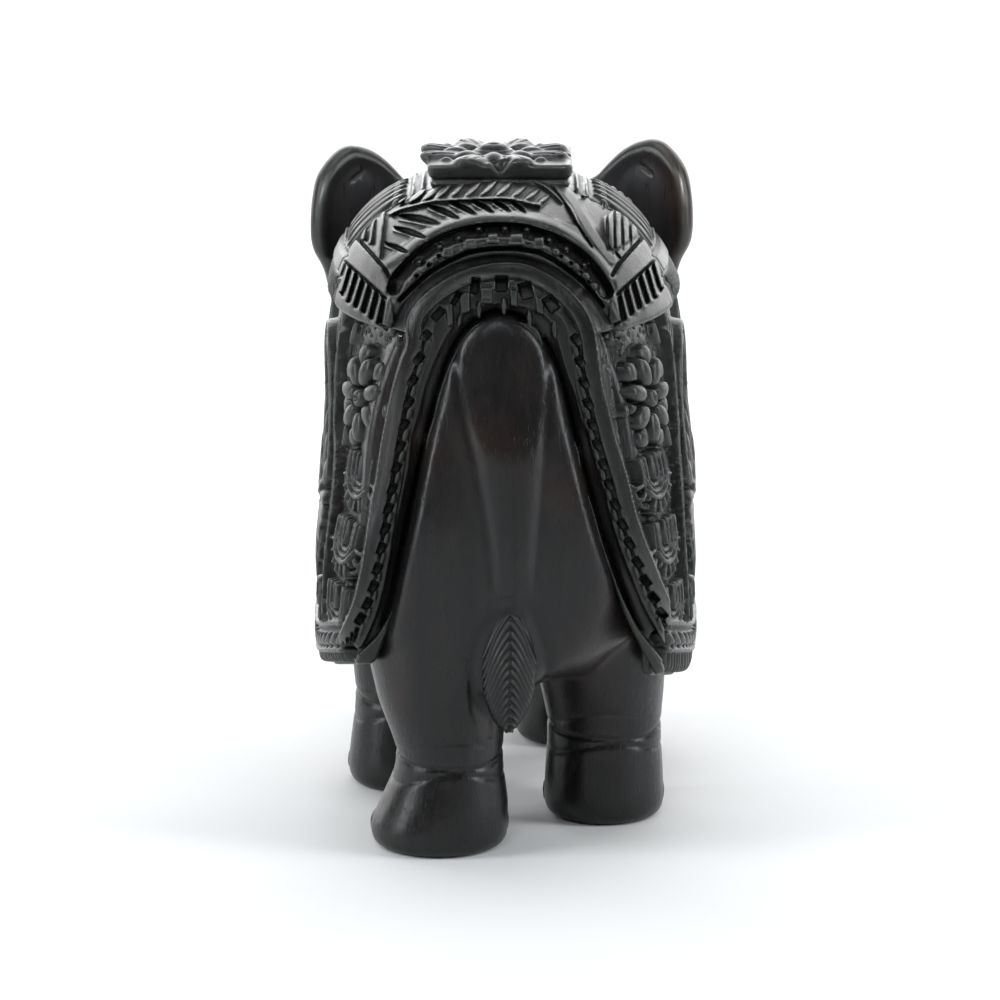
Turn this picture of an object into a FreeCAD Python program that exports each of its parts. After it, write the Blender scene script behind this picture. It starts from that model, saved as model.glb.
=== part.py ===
import FreeCAD, Part
import math
import os

# Carved ebony elephant, standing, dressed in a long ceremonial blanket (jhool), a saddle cloth with a
# flower plate on the back, and a headpiece.  It is cut from one block of wood; only the two tusks are
# separate, each a turned and bent peg glued into a drilled socket beside the trunk.
#
# Row frame, millimetres: +Z up, the elephant looks towards -Y, its left side is +X.
# Origin: centre of the bounding box in X and Y, on the plane that the four soles stand on.

V = FreeCAD.Vector

# ---------------------------------------------------------------- driving dimensions
HEIGHT = 127.0            # soles to the top of the flower boss on the back
HALF_WIDTH = 37.4         # across the ear tips
REAR_Y = 62.0             # rearmost point (rump and tail root)
FRONT_Y = -62.0           # foremost point (tusk tips)

# torso, as closed sections across the body: y, half width, bottom z, top z, squareness
TORSO = [
    (-36.0, 13.0, 52.0, 100.0, 2.1),
    (-30.0, 22.0, 42.0, 108.0, 2.2),
    (-18.0, 27.5, 36.0, 113.0, 2.3),
    (0.0, 30.5, 33.0, 115.5, 2.35),
    (20.0, 30.5, 33.0, 115.5, 2.35),
    (38.0, 29.0, 32.0, 113.5, 2.35),
    (50.0, 25.5, 31.0, 109.5, 2.3),
    (56.0, 21.0, 32.0, 104.5, 2.25),
    (59.6, 14.5, 36.0, 99.0, 2.15),
    (61.4, 8.0, 46.0, 88.0, 2.0),
]

# blanket, the same way; its bottom is cut off square at BLANKET_Z
BLANKET = [
    (-31.0, 27.0, -2.0, 111.5, 2.5),
    (-22.0, 32.0, -2.0, 116.0, 2.6),
    (0.0, 35.6, -2.0, 119.0, 2.7),
    (18.0, 36.0, -2.0, 119.0, 2.7),
    (34.0, 34.0, -2.0, 117.0, 2.6),
    (45.0, 30.6, -2.0, 114.5, 2.55),
    (52.0, 26.6, -2.0, 111.5, 2.5),
    (57.0, 22.4, -2.0, 107.5, 2.45),
]
BLANKET_Z = 28.5          # lower hem of the blanket
BELLY_Z = 33.0            # the belly, a little above the hem
WALL = 4.6                # how far the blanket stands off the belly recess

# the arch that the blanket leaves open over the rump, seen from behind: x, z
REAR_ARCH = [(25.5, 14.0), (24.5, 30.0), (20.6, 46.0), (16.8, 61.0), (13.0, 77.0), (8.2, 93.5), (4.2, 100.4), (0.0, 102.2)]
FRONT_ARCH = [(23.0, 14.0), (22.5, 30.0), (21.5, 50.0), (20.0, 70.0), (17.0, 88.0), (11.0, 99.0), (0.0, 102.0)]

# saddle cloth over the back
CLOTH = [
    (-26.0, 32.0, 40.0, 117.0, 2.5),
    (0.0, 36.8, 40.0, 122.0, 2.6),
    (20.0, 37.0, 40.0, 122.2, 2.6),
    (36.0, 34.6, 40.0, 120.8, 2.6),
    (46.0, 31.2, 40.0, 119.2, 2.55),
    (53.0, 27.0, 40.0, 115.0, 2.5),
]
CLOTH_Z = 98.0            # lower edge of the saddle cloth along the flanks
CLOTH_ARCH = [(21.5, 80.0), (19.6, 97.0), (14.5, 106.0), (8.0, 110.6), (0.0, 112.2)]

# flower plate and flower
PLATE_Y = 8.4
PLATE_HALF = 13.6
PLATE_Z0, PLATE_Z1 = 118.0, 125.2
PETAL_R = 9.0             # centre of each petal from the plate's centre
PETAL_SIZE = (4.6, 3.3, 1.2)
BOSS_R = 4.9

# legs: centre of the sole x, y, then x, y of the hip, sole radii, ankle radii, knee radii
LEGS = {
    "rear_left": dict(foot=(11.4, 45.4), ankle=(9.6, 45.4), hip=(12.6, 42.0), rf=(12.9, 12.9), ra=(10.0, 11.2), rh=(13.4, 15.0)),
    "rear_right": dict(foot=(-19.9, 24.4), ankle=(-19.9, 24.4), hip=(-18.6, 28.0), rf=(11.5, 12.2), ra=(10.9, 11.2), rh=(12.6, 15.0)),
    "fore_left": dict(foot=(18.3, 2.0), ankle=(18.3, 1.4), hip=(17.6, -6.0), rf=(11.4, 12.0), ra=(10.0, 10.6), rh=(12.0, 13.0)),
    "fore_right": dict(foot=(-14.6, -31.0), ankle=(-14.8, -30.4), hip=(-17.0, -22.0), rf=(11.6, 12.0), ra=(10.0, 10.6), rh=(12.0, 13.0)),
}
ANKLE_Z = 17.0
HIP_Z = 46.0

# head, trunk (centre y, z, half width, half depth) and ears
HEAD_C = (0.0, -39.0, 88.0)
HEAD_R = (18.5, 16.0, 23.0)
TRUNK = [
    # x, y, z, radius
    (0.0, -44.5, 86.0, 12.5),
    (0.0, -50.4, 74.0, 10.6),
    (0.0, -53.2, 61.0, 9.0),
    (0.0, -53.6, 47.0, 7.8),
    (0.0, -52.2, 33.0, 6.9),
    (0.0, -51.6, 21.0, 6.2),
    (0.0, -54.0, 12.2, 5.7),
]
TRUNK_TIP_R = 5.2
# ear outline in its own plane: distance outward from the root, z
EAR = [(0.0, 66.0), (7.0, 61.5), (14.0, 66.0), (18.6, 78.0), (20.6, 90.0), (22.0, 96.5), (24.2, 101.5), (24.2, 109.0), (21.8, 116.2), (16.0, 120.4), (9.5, 118.6), (4.0, 113.0), (0.0, 106.0)]
EAR_ROOT = (15.0, -37.0)
EAR_TURN = 27.0           # degrees that the ear sweeps back from square
EAR_T = 4.4

# tail down the rump, with its tuft lying on the left hind leg
TAIL = [(-1.0, 60.3, 92.0, 6.5, 3.0), (-2.0, 61.0, 76.0, 4.6, 3.0), (-2.6, 60.2, 60.0, 3.4, 3.0), (-2.6, 58.8, 46.0, 2.9, 3.0)]
TUFT_C, TUFT_R = (-1.6, 58.0, 35.8), (5.6, 4.0, 12.0)

# tusks: socket in the cheek, peg, and the free horn
TUSK_ROOT = (10.6, -43.5, 66.0)
TUSK_DIR = (0.10, -0.93, -0.30)
TUSK_PEG_R = 2.2
TUSK_GAP = 0.05           # glue gap round the peg
TUSK_PEG_L = 9.0
TUSK_R = 2.9              # shoulder radius, outside the cheek
TUSK_L = 18.5             # free length along the chord
TUSK_RISE = 3.2           # how far the tip curves up


# ---------------------------------------------------------------- helpers
def ring(points):
    """Closed smooth wire through points."""
    c = Part.BSplineCurve()
    c.interpolate(points, PeriodicFlag=True)
    return Part.Wire([c.toShape()])


def section(y, a, z0, z1, n, count=20):
    """A closed superellipse across the body at y."""
    zc, b = (z0 + z1) / 2.0, (z1 - z0) / 2.0
    pts = []
    for i in range(count):
        t = 2.0 * math.pi * i / count
        c, s = math.cos(t), math.sin(t)
        pts.append(V(a * math.copysign(abs(c) ** (2.0 / n), c), y, zc + b * math.copysign(abs(s) ** (2.0 / n), s)))
    return ring(pts)


def hull(rows):
    return Part.makeLoft([section(*r) for r in rows], True, False)


def ellipsoid(c, r):
    m = FreeCAD.Matrix()
    m.scale(r[0], r[1], r[2])
    s = Part.makeSphere(1.0).transformGeometry(m)
    s.translate(V(*c))
    return s


def oval(cx, cy, z, rx, ry, nx=0.0, ny=0.0):
    """A horizontal elliptical wire."""
    major, minor = max(rx, ry), min(rx, ry)
    if abs(rx - ry) < 1e-6:
        e = Part.Circle(V(cx, cy, z), V(0, 0, 1), rx)
        return Part.Wire([e.toShape()])
    e = Part.Ellipse(V(cx, cy, z), rx, ry) if rx > ry else None
    if e is None:
        e = Part.Ellipse(V(cx, cy, z), major, minor)
        e.rotate(FreeCAD.Placement(V(cx, cy, z), FreeCAD.Rotation(V(0, 0, 1), 90), V(0, 0, 0)))
        e.Center = V(cx, cy, z)
    return Part.Wire([e.toShape()])


def leg(foot, ankle, hip, rf, ra, rh):
    """A column of oval sections with a flared foot."""
    def row(c, r, z):
        pts = []
        for i in range(12):
            t = 2.0 * math.pi * i / 12
            pts.append(V(c[0] + r[0] * math.cos(t), c[1] + r[1] * math.sin(t), z))
        return ring(pts)
    mid = ((foot[0] + ankle[0]) / 2, (foot[1] + ankle[1]) / 2)
    return Part.makeLoft([
        row(foot, (rf[0] - 0.9, rf[1] - 0.9), 0.0),
        row(foot, rf, 3.0),
        row(mid, ((rf[0] * 0.7 + ra[0] * 0.3), (rf[1] * 0.7 + ra[1] * 0.3)), 8.0),
        row(ankle, ra, ANKLE_Z),
        row(((ankle[0] + hip[0]) / 2, (ankle[1] + hip[1]) / 2), ((ra[0] + rh[0]) / 2 + 0.4, (ra[1] + rh[1]) / 2 + 0.4), 29.0),
        row(hip, rh, HIP_Z),
        row(hip, (rh[0] * 0.9, rh[1] * 0.9), HIP_Z + 14.0),
    ], True, False)


def arch_tool(points, y0, y1, half_bottom=None):
    """A tunnel along Y with the arch's outline, open downwards."""
    right = [V(x, y0, z) for x, z in points]
    left = [V(-x, y0, z) for x, z in reversed(points[:-1])]
    c = Part.BSplineCurve()
    c.interpolate(right + left)
    base = Part.LineSegment(V(-points[0][0], y0, points[0][1]), V(points[0][0], y0, points[0][1]))
    face = Part.Face(Part.Wire([c.toShape(), base.toShape()]))
    return face.extrude(V(0, y1 - y0, 0))


def tube(rows):
    """A loft through circles whose planes follow the line of their centres."""
    wires = []
    for i, (x, y, z, r) in enumerate(rows):
        a = V(*rows[max(0, i - 1)][:3])
        b = V(*rows[min(len(rows) - 1, i + 1)][:3])
        wires.append(Part.Wire([Part.Circle(V(x, y, z), (b - a), r).toShape()]))
    return Part.makeLoft(wires, True, False)


def fuse(base, others, label):
    for i, o in enumerate(others):
        base = base.fuse(o)
    if base.ShapeType == "Compound" and len(base.Solids) == 1:
        base = base.Solids[0]
    print(label, "solids", len(base.Solids), "valid", base.isValid(), "volume", round(base.Volume, 1))
    return base


# ---------------------------------------------------------------- torso, blanket and saddle cloth
torso = hull(TORSO)

blanket = hull(BLANKET)
below = Part.makeBox(120, 160, 60, V(-60, -80, BLANKET_Z - 60))
blanket = blanket.cut(below)
blanket = blanket.cut(arch_tool(REAR_ARCH, 30.0, 80.0))
blanket = blanket.cut(arch_tool(FRONT_ARCH, -80.0, -18.0))
recess = Part.makeBox(2 * (35.2 - WALL - 3.6), 48.0, BELLY_Z - BLANKET_Z + 2, V(-(35.2 - WALL - 3.6), -17.9, BLANKET_Z - 2))
recess = recess.makeFillet(4.0, [e for e in recess.Edges if abs(e.BoundBox.ZLength - recess.BoundBox.ZLength) < 1e-6])
blanket = blanket.cut(recess)
print("blanket", len(blanket.Solids), blanket.isValid())

cloth = hull(CLOTH)
cloth = cloth.cut(Part.makeBox(120, 160, CLOTH_Z, V(-60, -80, 0)))
cloth = cloth.cut(arch_tool(CLOTH_ARCH, 40.0, 80.0))
print("cloth", len(cloth.Solids), cloth.isValid())

# ---------------------------------------------------------------- flower plate
plate = Part.makeBox(2 * PLATE_HALF, 2 * PLATE_HALF, PLATE_Z1 - PLATE_Z0, V(-PLATE_HALF, PLATE_Y - PLATE_HALF, PLATE_Z0))
plate = plate.makeChamfer(2.4, [e for e in plate.Edges if abs(e.BoundBox.ZLength - (PLATE_Z1 - PLATE_Z0)) < 1e-6])
notch = Part.makeCylinder(1.5, 40, V(0, PLATE_Y - 20, PLATE_Z1 + 0.6), V(0, 1, 0))
flower = []
for i in range(8):
    t = math.radians(45.0 * i)
    p = ellipsoid((0, 0, 0), PETAL_SIZE)
    p.rotate(V(0, 0, 0), V(0, 0, 1), 45.0 * i + 90.0)
    p.translate(V(PETAL_R * math.cos(t), PLATE_Y + PETAL_R * math.sin(t), PLATE_Z1 - 0.1))
    flower.append(p)
boss = Part.makeSphere(BOSS_R + 1.2)
boss.translate(V(0, PLATE_Y, HEIGHT - BOSS_R - 1.2))

# ---------------------------------------------------------------- head, trunk, ears
head = ellipsoid(HEAD_C, HEAD_R)
neck = ellipsoid((0, -28.0, 82.0), (22.0, 16.0, 27.0))
trunk = tube(TRUNK)
tip = Part.makeSphere(TRUNK_TIP_R)
tip.translate(V(TRUNK[-1][0], TRUNK[-1][1], TRUNK[-1][2] - 1.2))


def ear(side):
    outline = ring([V(u, 0, z) for u, z in EAR])
    plate_ = Part.Face(outline).extrude(V(0, EAR_T, 0))
    plate_.translate(V(0, -EAR_T / 2, 0))
    plate_.rotate(V(0, 0, 0), V(0, 0, 1), EAR_TURN)
    plate_.translate(V(EAR_ROOT[0], EAR_ROOT[1], 0))
    if side < 0:
        plate_ = plate_.mirror(V(0, 0, 0), V(1, 0, 0))
    return plate_


# ---------------------------------------------------------------- tail
def tail_shape():
    wires = []
    for x, y, z, rx, ry in TAIL:
        pts = [V(x + rx * math.cos(2 * math.pi * i / 12), y - 1.6 + ry * math.sin(2 * math.pi * i / 12), z) for i in range(12)]
        wires.append(ring(pts))
    return Part.makeLoft(wires, True, False)


tail = tail_shape()
tuft = ellipsoid(TUFT_C, TUFT_R)

# ---------------------------------------------------------------- one block of wood
body = fuse(torso, [leg(**LEGS[k]) for k in LEGS], "torso and legs")
body = fuse(body, [neck, head], "and head")
body = fuse(body, [trunk], "and trunk")
body = fuse(body, [tip], "and trunk tip")
body = fuse(body, [tail, tuft], "and tail")
body = fuse(body, [blanket], "and blanket")
body = fuse(body, [cloth], "and cloth")
body = fuse(body, [plate.cut(notch)], "and plate")
body = fuse(body, flower + [boss], "and flower")
body = fuse(body, [ear(1), ear(-1)], "and ears")


# ---------------------------------------------------------------- tusks and their sockets
def tusk(side):
    d = V(TUSK_DIR[0] * side, TUSK_DIR[1], TUSK_DIR[2])
    d.normalize()
    root = V(TUSK_ROOT[0] * side, TUSK_ROOT[1], TUSK_ROOT[2])
    peg = Part.makeCylinder(TUSK_PEG_R, TUSK_PEG_L + 1.0, root - d * TUSK_PEG_L, d)
    rows, n = [], 8
    for i in range(n + 1):
        t = i / n
        p = root + d * (TUSK_L * t) + V(0, 0, TUSK_RISE * t * t)
        rows.append((p.x, p.y, p.z, TUSK_R * (1.0 - t) ** 0.75 * 0.86 + 0.55))
    horn = tube(rows)
    solid = peg.fuse(horn).removeSplitter()
    solid = solid.Solids[0] if len(solid.Solids) == 1 else solid
    hole = Part.makeCylinder(TUSK_PEG_R + TUSK_GAP, TUSK_PEG_L + 0.4, root - d * (TUSK_PEG_L + 0.4), d)
    # spot face that the tusk's shoulder seats on, opened outwards so that the cheek clears the horn
    seat = Part.makeCylinder(TUSK_R + 0.8, 14.0, root, d)
    return solid, hole, seat


left, left_hole, left_seat = tusk(1)
right, right_hole, right_seat = tusk(-1)
for s in (left_seat, right_seat, left_hole, right_hole):
    body = body.cut(s)
if body.ShapeType == "Compound" and len(body.Solids) == 1:
    body = body.Solids[0]

# flat soles on the ground plane
body = body.cut(Part.makeBox(200, 200, 20, V(-100, -100, -20)))
if body.ShapeType == "Compound" and len(body.Solids) == 1:
    body = body.Solids[0]
print("body", body.ShapeType, len(body.Solids), body.isValid(), round(body.Volume, 1))

parts = {"carved_body": body, "left_tusk": left, "right_tusk": right}
os.makedirs("parts", exist_ok=True)
low, high = V(1e9, 1e9, 1e9), V(-1e9, -1e9, -1e9)
for name, shape in parts.items():
    shape.exportStep(os.path.join("parts", name + ".step"))
    b = shape.optimalBoundingBox()
    low = V(min(low.x, b.XMin), min(low.y, b.YMin), min(low.z, b.ZMin))
    high = V(max(high.x, b.XMax), max(high.y, b.YMax), max(high.z, b.ZMax))
    print(name, shape.isValid(), len(shape.Solids), round(shape.Volume, 2), b)
    both = [n for n in parts if n > name]
    for other in both:
        common = shape.common(parts[other])
        print("  overlap with", other, round(common.Volume, 4))
print("box", low, high, "centre", (low + high) * 0.5)
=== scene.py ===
import bpy
import math
import time
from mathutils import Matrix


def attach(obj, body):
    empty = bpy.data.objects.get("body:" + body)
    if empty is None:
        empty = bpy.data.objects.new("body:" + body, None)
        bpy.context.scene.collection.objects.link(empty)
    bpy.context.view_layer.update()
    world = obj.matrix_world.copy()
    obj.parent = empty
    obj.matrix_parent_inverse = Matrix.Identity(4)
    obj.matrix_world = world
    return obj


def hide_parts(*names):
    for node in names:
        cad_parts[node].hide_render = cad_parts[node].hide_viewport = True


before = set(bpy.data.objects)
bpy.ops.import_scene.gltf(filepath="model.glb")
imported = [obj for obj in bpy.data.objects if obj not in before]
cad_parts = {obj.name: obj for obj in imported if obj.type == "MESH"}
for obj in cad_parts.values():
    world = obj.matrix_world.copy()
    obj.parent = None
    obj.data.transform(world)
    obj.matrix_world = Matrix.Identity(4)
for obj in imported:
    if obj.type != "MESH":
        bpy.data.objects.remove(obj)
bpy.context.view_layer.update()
from concurrent.futures import ThreadPoolExecutor
import numpy as np
from mathutils import Vector

T0 = time.time()
f4 = np.float32


def log(*a):
    print("[%5.1f s]" % (time.time() - T0), *a, flush=True)


# =====================================================================================================
# Fields.  All lengths are millimetres in the row frame: +Z up, the elephant looks towards -Y, left is +X.
# Negative inside, positive outside.
# =====================================================================================================
def smin(a, b, k):
    h = np.maximum(k - np.abs(a - b), 0.0) / k
    return np.minimum(a, b) - h * h * k * 0.25


def smax(a, b, k):
    return -smin(-a, -b, k)


def sstep(e0, e1, x):
    t = np.clip((x - e0) / (e1 - e0), 0.0, 1.0)
    return t * t * (3 - 2 * t)


def table(xs, vs, n=160):
    """A smooth curve through points, sampled densely (monotone cubic)."""
    xs, vs = np.asarray(xs, float), np.asarray(vs, float)
    h, d = np.diff(xs), np.diff(vs) / np.diff(xs)
    m = np.zeros(len(xs))
    for i in range(1, len(xs) - 1):
        if d[i - 1] * d[i] > 0:
            w1, w2 = 2 * h[i] + h[i - 1], h[i] + 2 * h[i - 1]
            m[i] = (w1 + w2) / (w1 / d[i - 1] + w2 / d[i])
    m[0], m[-1] = d[0], d[-1]
    X = np.linspace(xs[0], xs[-1], n)
    k = np.clip(np.searchsorted(xs, X) - 1, 0, len(xs) - 2)
    t = (X - xs[k]) / h[k]
    V = (2 * t ** 3 - 3 * t ** 2 + 1) * vs[k] + (t ** 3 - 2 * t ** 2 + t) * h[k] * m[k] + (3 * t ** 2 - 2 * t ** 3) * vs[k + 1] + (t ** 3 - t ** 2) * h[k] * m[k + 1]
    return X, V


class Curve:
    def __init__(self, xs, vs):
        self.x, self.v = table(xs, vs)

    def __call__(self, q):
        return np.interp(q, self.x, self.v).astype(f4)


def norm(f, H):
    """A field divided by its own slope, so that it reads as a distance near its surface."""
    gx, gy, gz = np.gradient(f, H)
    g = np.sqrt(gx * gx + gy * gy + gz * gz)
    return f / np.clip(g, 0.25, 6.0)


def ellipsoid(G, c, r, rot=0.0):
    x, y, z = G[0] - c[0], G[1] - c[1], G[2] - c[2]
    if rot:
        co, si = math.cos(rot), math.sin(rot)
        y, z = co * y + si * z, -si * y + co * z
    k0 = np.sqrt((x / r[0]) ** 2 + (y / r[1]) ** 2 + (z / r[2]) ** 2)
    k1 = np.sqrt((x / r[0] ** 2) ** 2 + (y / r[1] ** 2) ** 2 + (z / r[2] ** 2) ** 2)
    return k0 * (k0 - 1.0) / np.maximum(k1, 1e-6)


def capsule(G, a, b, ra, rb):
    a, b = np.array(a, float), np.array(b, float)
    d = b - a
    L = float(d @ d)
    t = np.clip(((G[0] - a[0]) * d[0] + (G[1] - a[1]) * d[1] + (G[2] - a[2]) * d[2]) / L, 0, 1)
    return np.sqrt((G[0] - a[0] - t * d[0]) ** 2 + (G[1] - a[1] - t * d[1]) ** 2 + (G[2] - a[2] - t * d[2]) ** 2) - (ra + (rb - ra) * t)


def poly_sd(pts, X, Y):
    """Signed distance to a closed polygon, negative inside."""
    pts = np.asarray(pts, float)
    d = np.full(np.broadcast(X, Y).shape, 1e18)
    inside = np.zeros(d.shape, bool)
    n = len(pts)
    for i in range(n):
        (ax, ay), (bx, by) = pts[i], pts[(i + 1) % n]
        ex, ey = bx - ax, by - ay
        wx, wy = X - ax, Y - ay
        t = np.clip((wx * ex + wy * ey) / max(ex * ex + ey * ey, 1e-12), 0, 1)
        d = np.minimum(d, (wx - t * ex) ** 2 + (wy - t * ey) ** 2)
        c = (ay <= Y) != (by <= Y)
        if abs(ey) > 1e-12:
            inside ^= c & (X < ax + (Y - ay) * ex / ey)
    d = np.sqrt(d)
    return np.where(inside, -d, d)


def smooth_line(pts, n=6, closed=False):
    """Catmull-Rom through points."""
    p = np.asarray(pts, float)
    if len(p) < 3:
        return p
    q = np.vstack([p[-1:], p, p[:2]]) if closed else np.vstack([2 * p[0] - p[1], p, 2 * p[-1] - p[-2]])
    out = []
    for i in range(1, len(q) - 2):
        for t in np.arange(n) / n:
            out.append(0.5 * (2 * q[i] + (q[i + 1] - q[i - 1]) * t + (2 * q[i - 1] - 5 * q[i] + 4 * q[i + 1] - q[i + 2]) * t * t + (3 * q[i] - q[i - 1] - 3 * q[i + 1] + q[i + 2]) * t ** 3))
    if not closed:
        out.append(p[-1])
    return np.array(out)


# =====================================================================================================
# Relief maps: height of the carving over the plain surface, drawn stroke by stroke
# =====================================================================================================
class Relief:
    def __init__(self, x0, x1, y0, y1, step, scale=1.0):
        self.x0, self.y0, self.s = x0, y0, step
        self.nx, self.ny = int(round((x1 - x0) / step)) + 1, int(round((y1 - y0) / step)) + 1
        self.H = np.zeros((self.ny, self.nx), f4)
        self.k = scale              # map units per millimetre, for edge widths given in map units

    def win(self, xa, xb, ya, yb):
        i0, i1 = max(0, int((xa - self.x0) / self.s)), min(self.nx, int((xb - self.x0) / self.s) + 2)
        j0, j1 = max(0, int((ya - self.y0) / self.s)), min(self.ny, int((yb - self.y0) / self.s) + 2)
        if i1 <= i0 or j1 <= j0:
            return None
        X = (self.x0 + np.arange(i0, i1) * self.s)[None, :].astype(f4)
        Y = (self.y0 + np.arange(j0, j1) * self.s)[:, None].astype(f4)
        return self.H[j0:j1, i0:i1], X, Y

    def put(self, W, m, h, mode):
        if mode == "set":
            W += m * (h - W)
        elif mode == "add":
            W += m * h
        elif mode == "max":
            np.maximum(W, h * m + W * (1 - m), out=W)
        elif mode == "min":
            np.minimum(W, h * m + W * (1 - m), out=W)

    def line(self, pts, w, h, edge=None, mode="set", w2=None, prof="round", smooth=True):
        """A stroke w wide; prof round (domed), flat (with bevelled edges) or vee."""
        p = smooth_line(pts) if smooth and len(pts) > 2 else np.asarray(pts, float)
        w2 = w if w2 is None else w2
        W = max(w, w2)
        g = self.win(p[:, 0].min() - W, p[:, 0].max() + W, p[:, 1].min() - W, p[:, 1].max() + W)
        if g is None:
            return
        H, X, Y = g
        seg = np.hypot(*np.diff(p, axis=0).T)
        cum = np.concatenate([[0], np.cumsum(seg)]) / max(seg.sum(), 1e-9)
        best = np.full(H.shape, 1e9, f4)
        for i in range(len(p) - 1):
            ax, ay = p[i]
            ex, ey = p[i + 1] - p[i]
            L = ex * ex + ey * ey
            t = np.clip(((X - ax) * ex + (Y - ay) * ey) / max(L, 1e-9), 0, 1)
            q = cum[i] + t * (cum[i + 1] - cum[i])
            hw = 0.5 * (w + (w2 - w) * q)
            d = np.sqrt((X - ax - t * ex) ** 2 + (Y - ay - t * ey) ** 2) / hw
            best = np.minimum(best, d.astype(f4))
        if prof == "round":
            m = np.clip(1 - best * best, 0, 1) ** 0.75
        elif prof == "vee":
            m = np.clip(1 - best, 0, 1)
        else:
            e = 0.35 if edge is None else edge
            m = sstep(0, e, 1 - best)
        self.put(H, m.astype(f4), h, mode)

    def poly(self, pts, h, edge, mode="set", smooth=False, dome=0.0, domew=3.0):
        p = smooth_line(pts, 5, True) if smooth else np.asarray(pts, float)
        g = self.win(p[:, 0].min() - edge, p[:, 0].max() + edge, p[:, 1].min() - edge, p[:, 1].max() + edge)
        if g is None:
            return
        H, X, Y = g
        d = -poly_sd(p, X, Y)
        m = sstep(0, edge, d)
        hh = h + dome * (1 - (1 - np.clip(d / domew, 0, 1)) ** 2) if dome else h
        self.put(H, m.astype(f4), np.asarray(hh, f4), mode)

    def ell(self, cx, cy, rx, ry, h, edge=0.35, ang=0.0, mode="set", dome=0.0):
        R = max(rx, ry)
        g = self.win(cx - R, cx + R, cy - R, cy + R)
        if g is None:
            return
        H, X, Y = g
        c, s = math.cos(ang), math.sin(ang)
        u, v = (X - cx) * c + (Y - cy) * s, -(X - cx) * s + (Y - cy) * c
        r = np.sqrt((u / rx) ** 2 + (v / ry) ** 2)
        m = sstep(0, edge, 1 - r)
        hh = h + dome * np.sqrt(np.clip(1 - r * r, 0, 1)) if dome else h
        self.put(H, m.astype(f4), np.asarray(hh, f4), mode)

    def wedge(self, cx, cy, w, l, ang, h0, h1, edge=1.1):
        """A sloping cut: h0 deep at its upper end, h1 at its lower end, with straight sides."""
        R = 0.5 * math.hypot(w, l) + 1
        g = self.win(cx - R, cx + R, cy - R, cy + R)
        if g is None:
            return
        H, X, Y = g
        c, s = math.cos(ang), math.sin(ang)
        u, v = (X - cx) * c + (Y - cy) * s, -(X - cx) * s + (Y - cy) * c
        d = np.minimum(w / 2 - np.abs(u), l / 2 - np.abs(v))
        m = sstep(0, edge, d)
        hh = h0 + (h1 - h0) * np.clip(v / l + 0.5, 0, 1)
        self.put(H, m.astype(f4), hh.astype(f4), "min")

    def leaf(self, x0, y0, x1, y1, w, h, dome=0.5, edge=0.3, mode="set", skew=0.0, vein=0.0):
        """A pointed petal from x0,y0 to x1,y1."""
        L = math.hypot(x1 - x0, y1 - y0)
        cx, cy = (x0 + x1) / 2, (y0 + y1) / 2
        R = max(L / 2, w) + 1
        g = self.win(cx - R, cx + R, cy - R, cy + R)
        if g is None:
            return
        H, X, Y = g
        c, s = (x1 - x0) / L, (y1 - y0) / L
        u, v = ((X - x0) * c + (Y - y0) * s) / L, -(X - x0) * s + (Y - y0) * c
        uu = np.clip(u, 0, 1)
        half = 0.5 * w * np.sin(math.pi * uu ** (1.0 + skew)) ** 0.75
        inside = np.where((u > 0) & (u < 1), 1 - np.abs(v) / np.maximum(half, 1e-4), -1)
        m = sstep(0, edge, inside)
        hh = h + dome * np.clip(inside, 0, 1) ** 0.6
        if vein:
            hh = hh - vein * np.exp(-(v / (0.06 * w + 0.12)) ** 2)
        self.put(H, m.astype(f4), np.asarray(hh, f4), mode)

    def at(self, X, Y):
        x = np.clip((X - self.x0) / self.s, 0, self.nx - 1.001)
        y = np.clip((Y - self.y0) / self.s, 0, self.ny - 1.001)
        i, j = x.astype(np.int32), y.astype(np.int32)
        u, v = (x - i).astype(f4), (y - j).astype(f4)
        H = self.H
        return (H[j, i] * (1 - u) + H[j, i + 1] * u) * (1 - v) + (H[j + 1, i] * (1 - u) + H[j + 1, i + 1] * u) * v

    def soften(self, r=1):
        for _ in range(r):
            H = self.H
            P = np.pad(H, 1, mode="edge")
            self.H = (0.25 * (P[1:-1, :-2] + 2 * P[1:-1, 1:-1] + P[1:-1, 2:])).astype(f4)
            P = np.pad(self.H, 1, mode="edge")
            self.H = (0.25 * (P[:-2, 1:-1] + 2 * P[1:-1, 1:-1] + P[2:, 1:-1])).astype(f4)


# the rear drawing board: the carver's rear elevation, drawn in perspective from behind and a little above.
# u grows towards the elephant's right, v grows downwards, 5.3 units to the millimetre.
EYE_Y, EYE_Z, TILT, FOC = 926.0, 260.7, math.radians(12.49), 4880.0


def board(X, Y, Z):
    d, h = EYE_Y - Y, EYE_Z - Z
    w = d * math.cos(TILT) + h * math.sin(TILT)
    return 500.0 - FOC * X / w, 500.0 - FOC * (d * math.sin(TILT) - h * math.cos(TILT)) / w


# =====================================================================================================
# Meshing
# =====================================================================================================
def cubic_rows(n_fine, n_coarse, ratio):
    """Weights that read a coarse row at fine points (cubic B-spline through smoothed samples)."""
    x = np.arange(n_fine) / ratio
    i = np.floor(x).astype(int)
    t = x - i
    w = np.stack([(1 - t) ** 3 / 6, (3 * t ** 3 - 6 * t ** 2 + 4) / 6, (-3 * t ** 3 + 3 * t ** 2 + 3 * t + 1) / 6, t ** 3 / 6], 1)
    A = np.zeros((n_fine, n_coarse), f4)
    for k in range(4):
        j = np.clip(i - 1 + k, 0, n_coarse - 1)
        np.add.at(A, (np.arange(n_fine), j), w[:, k])
    return A


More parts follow.
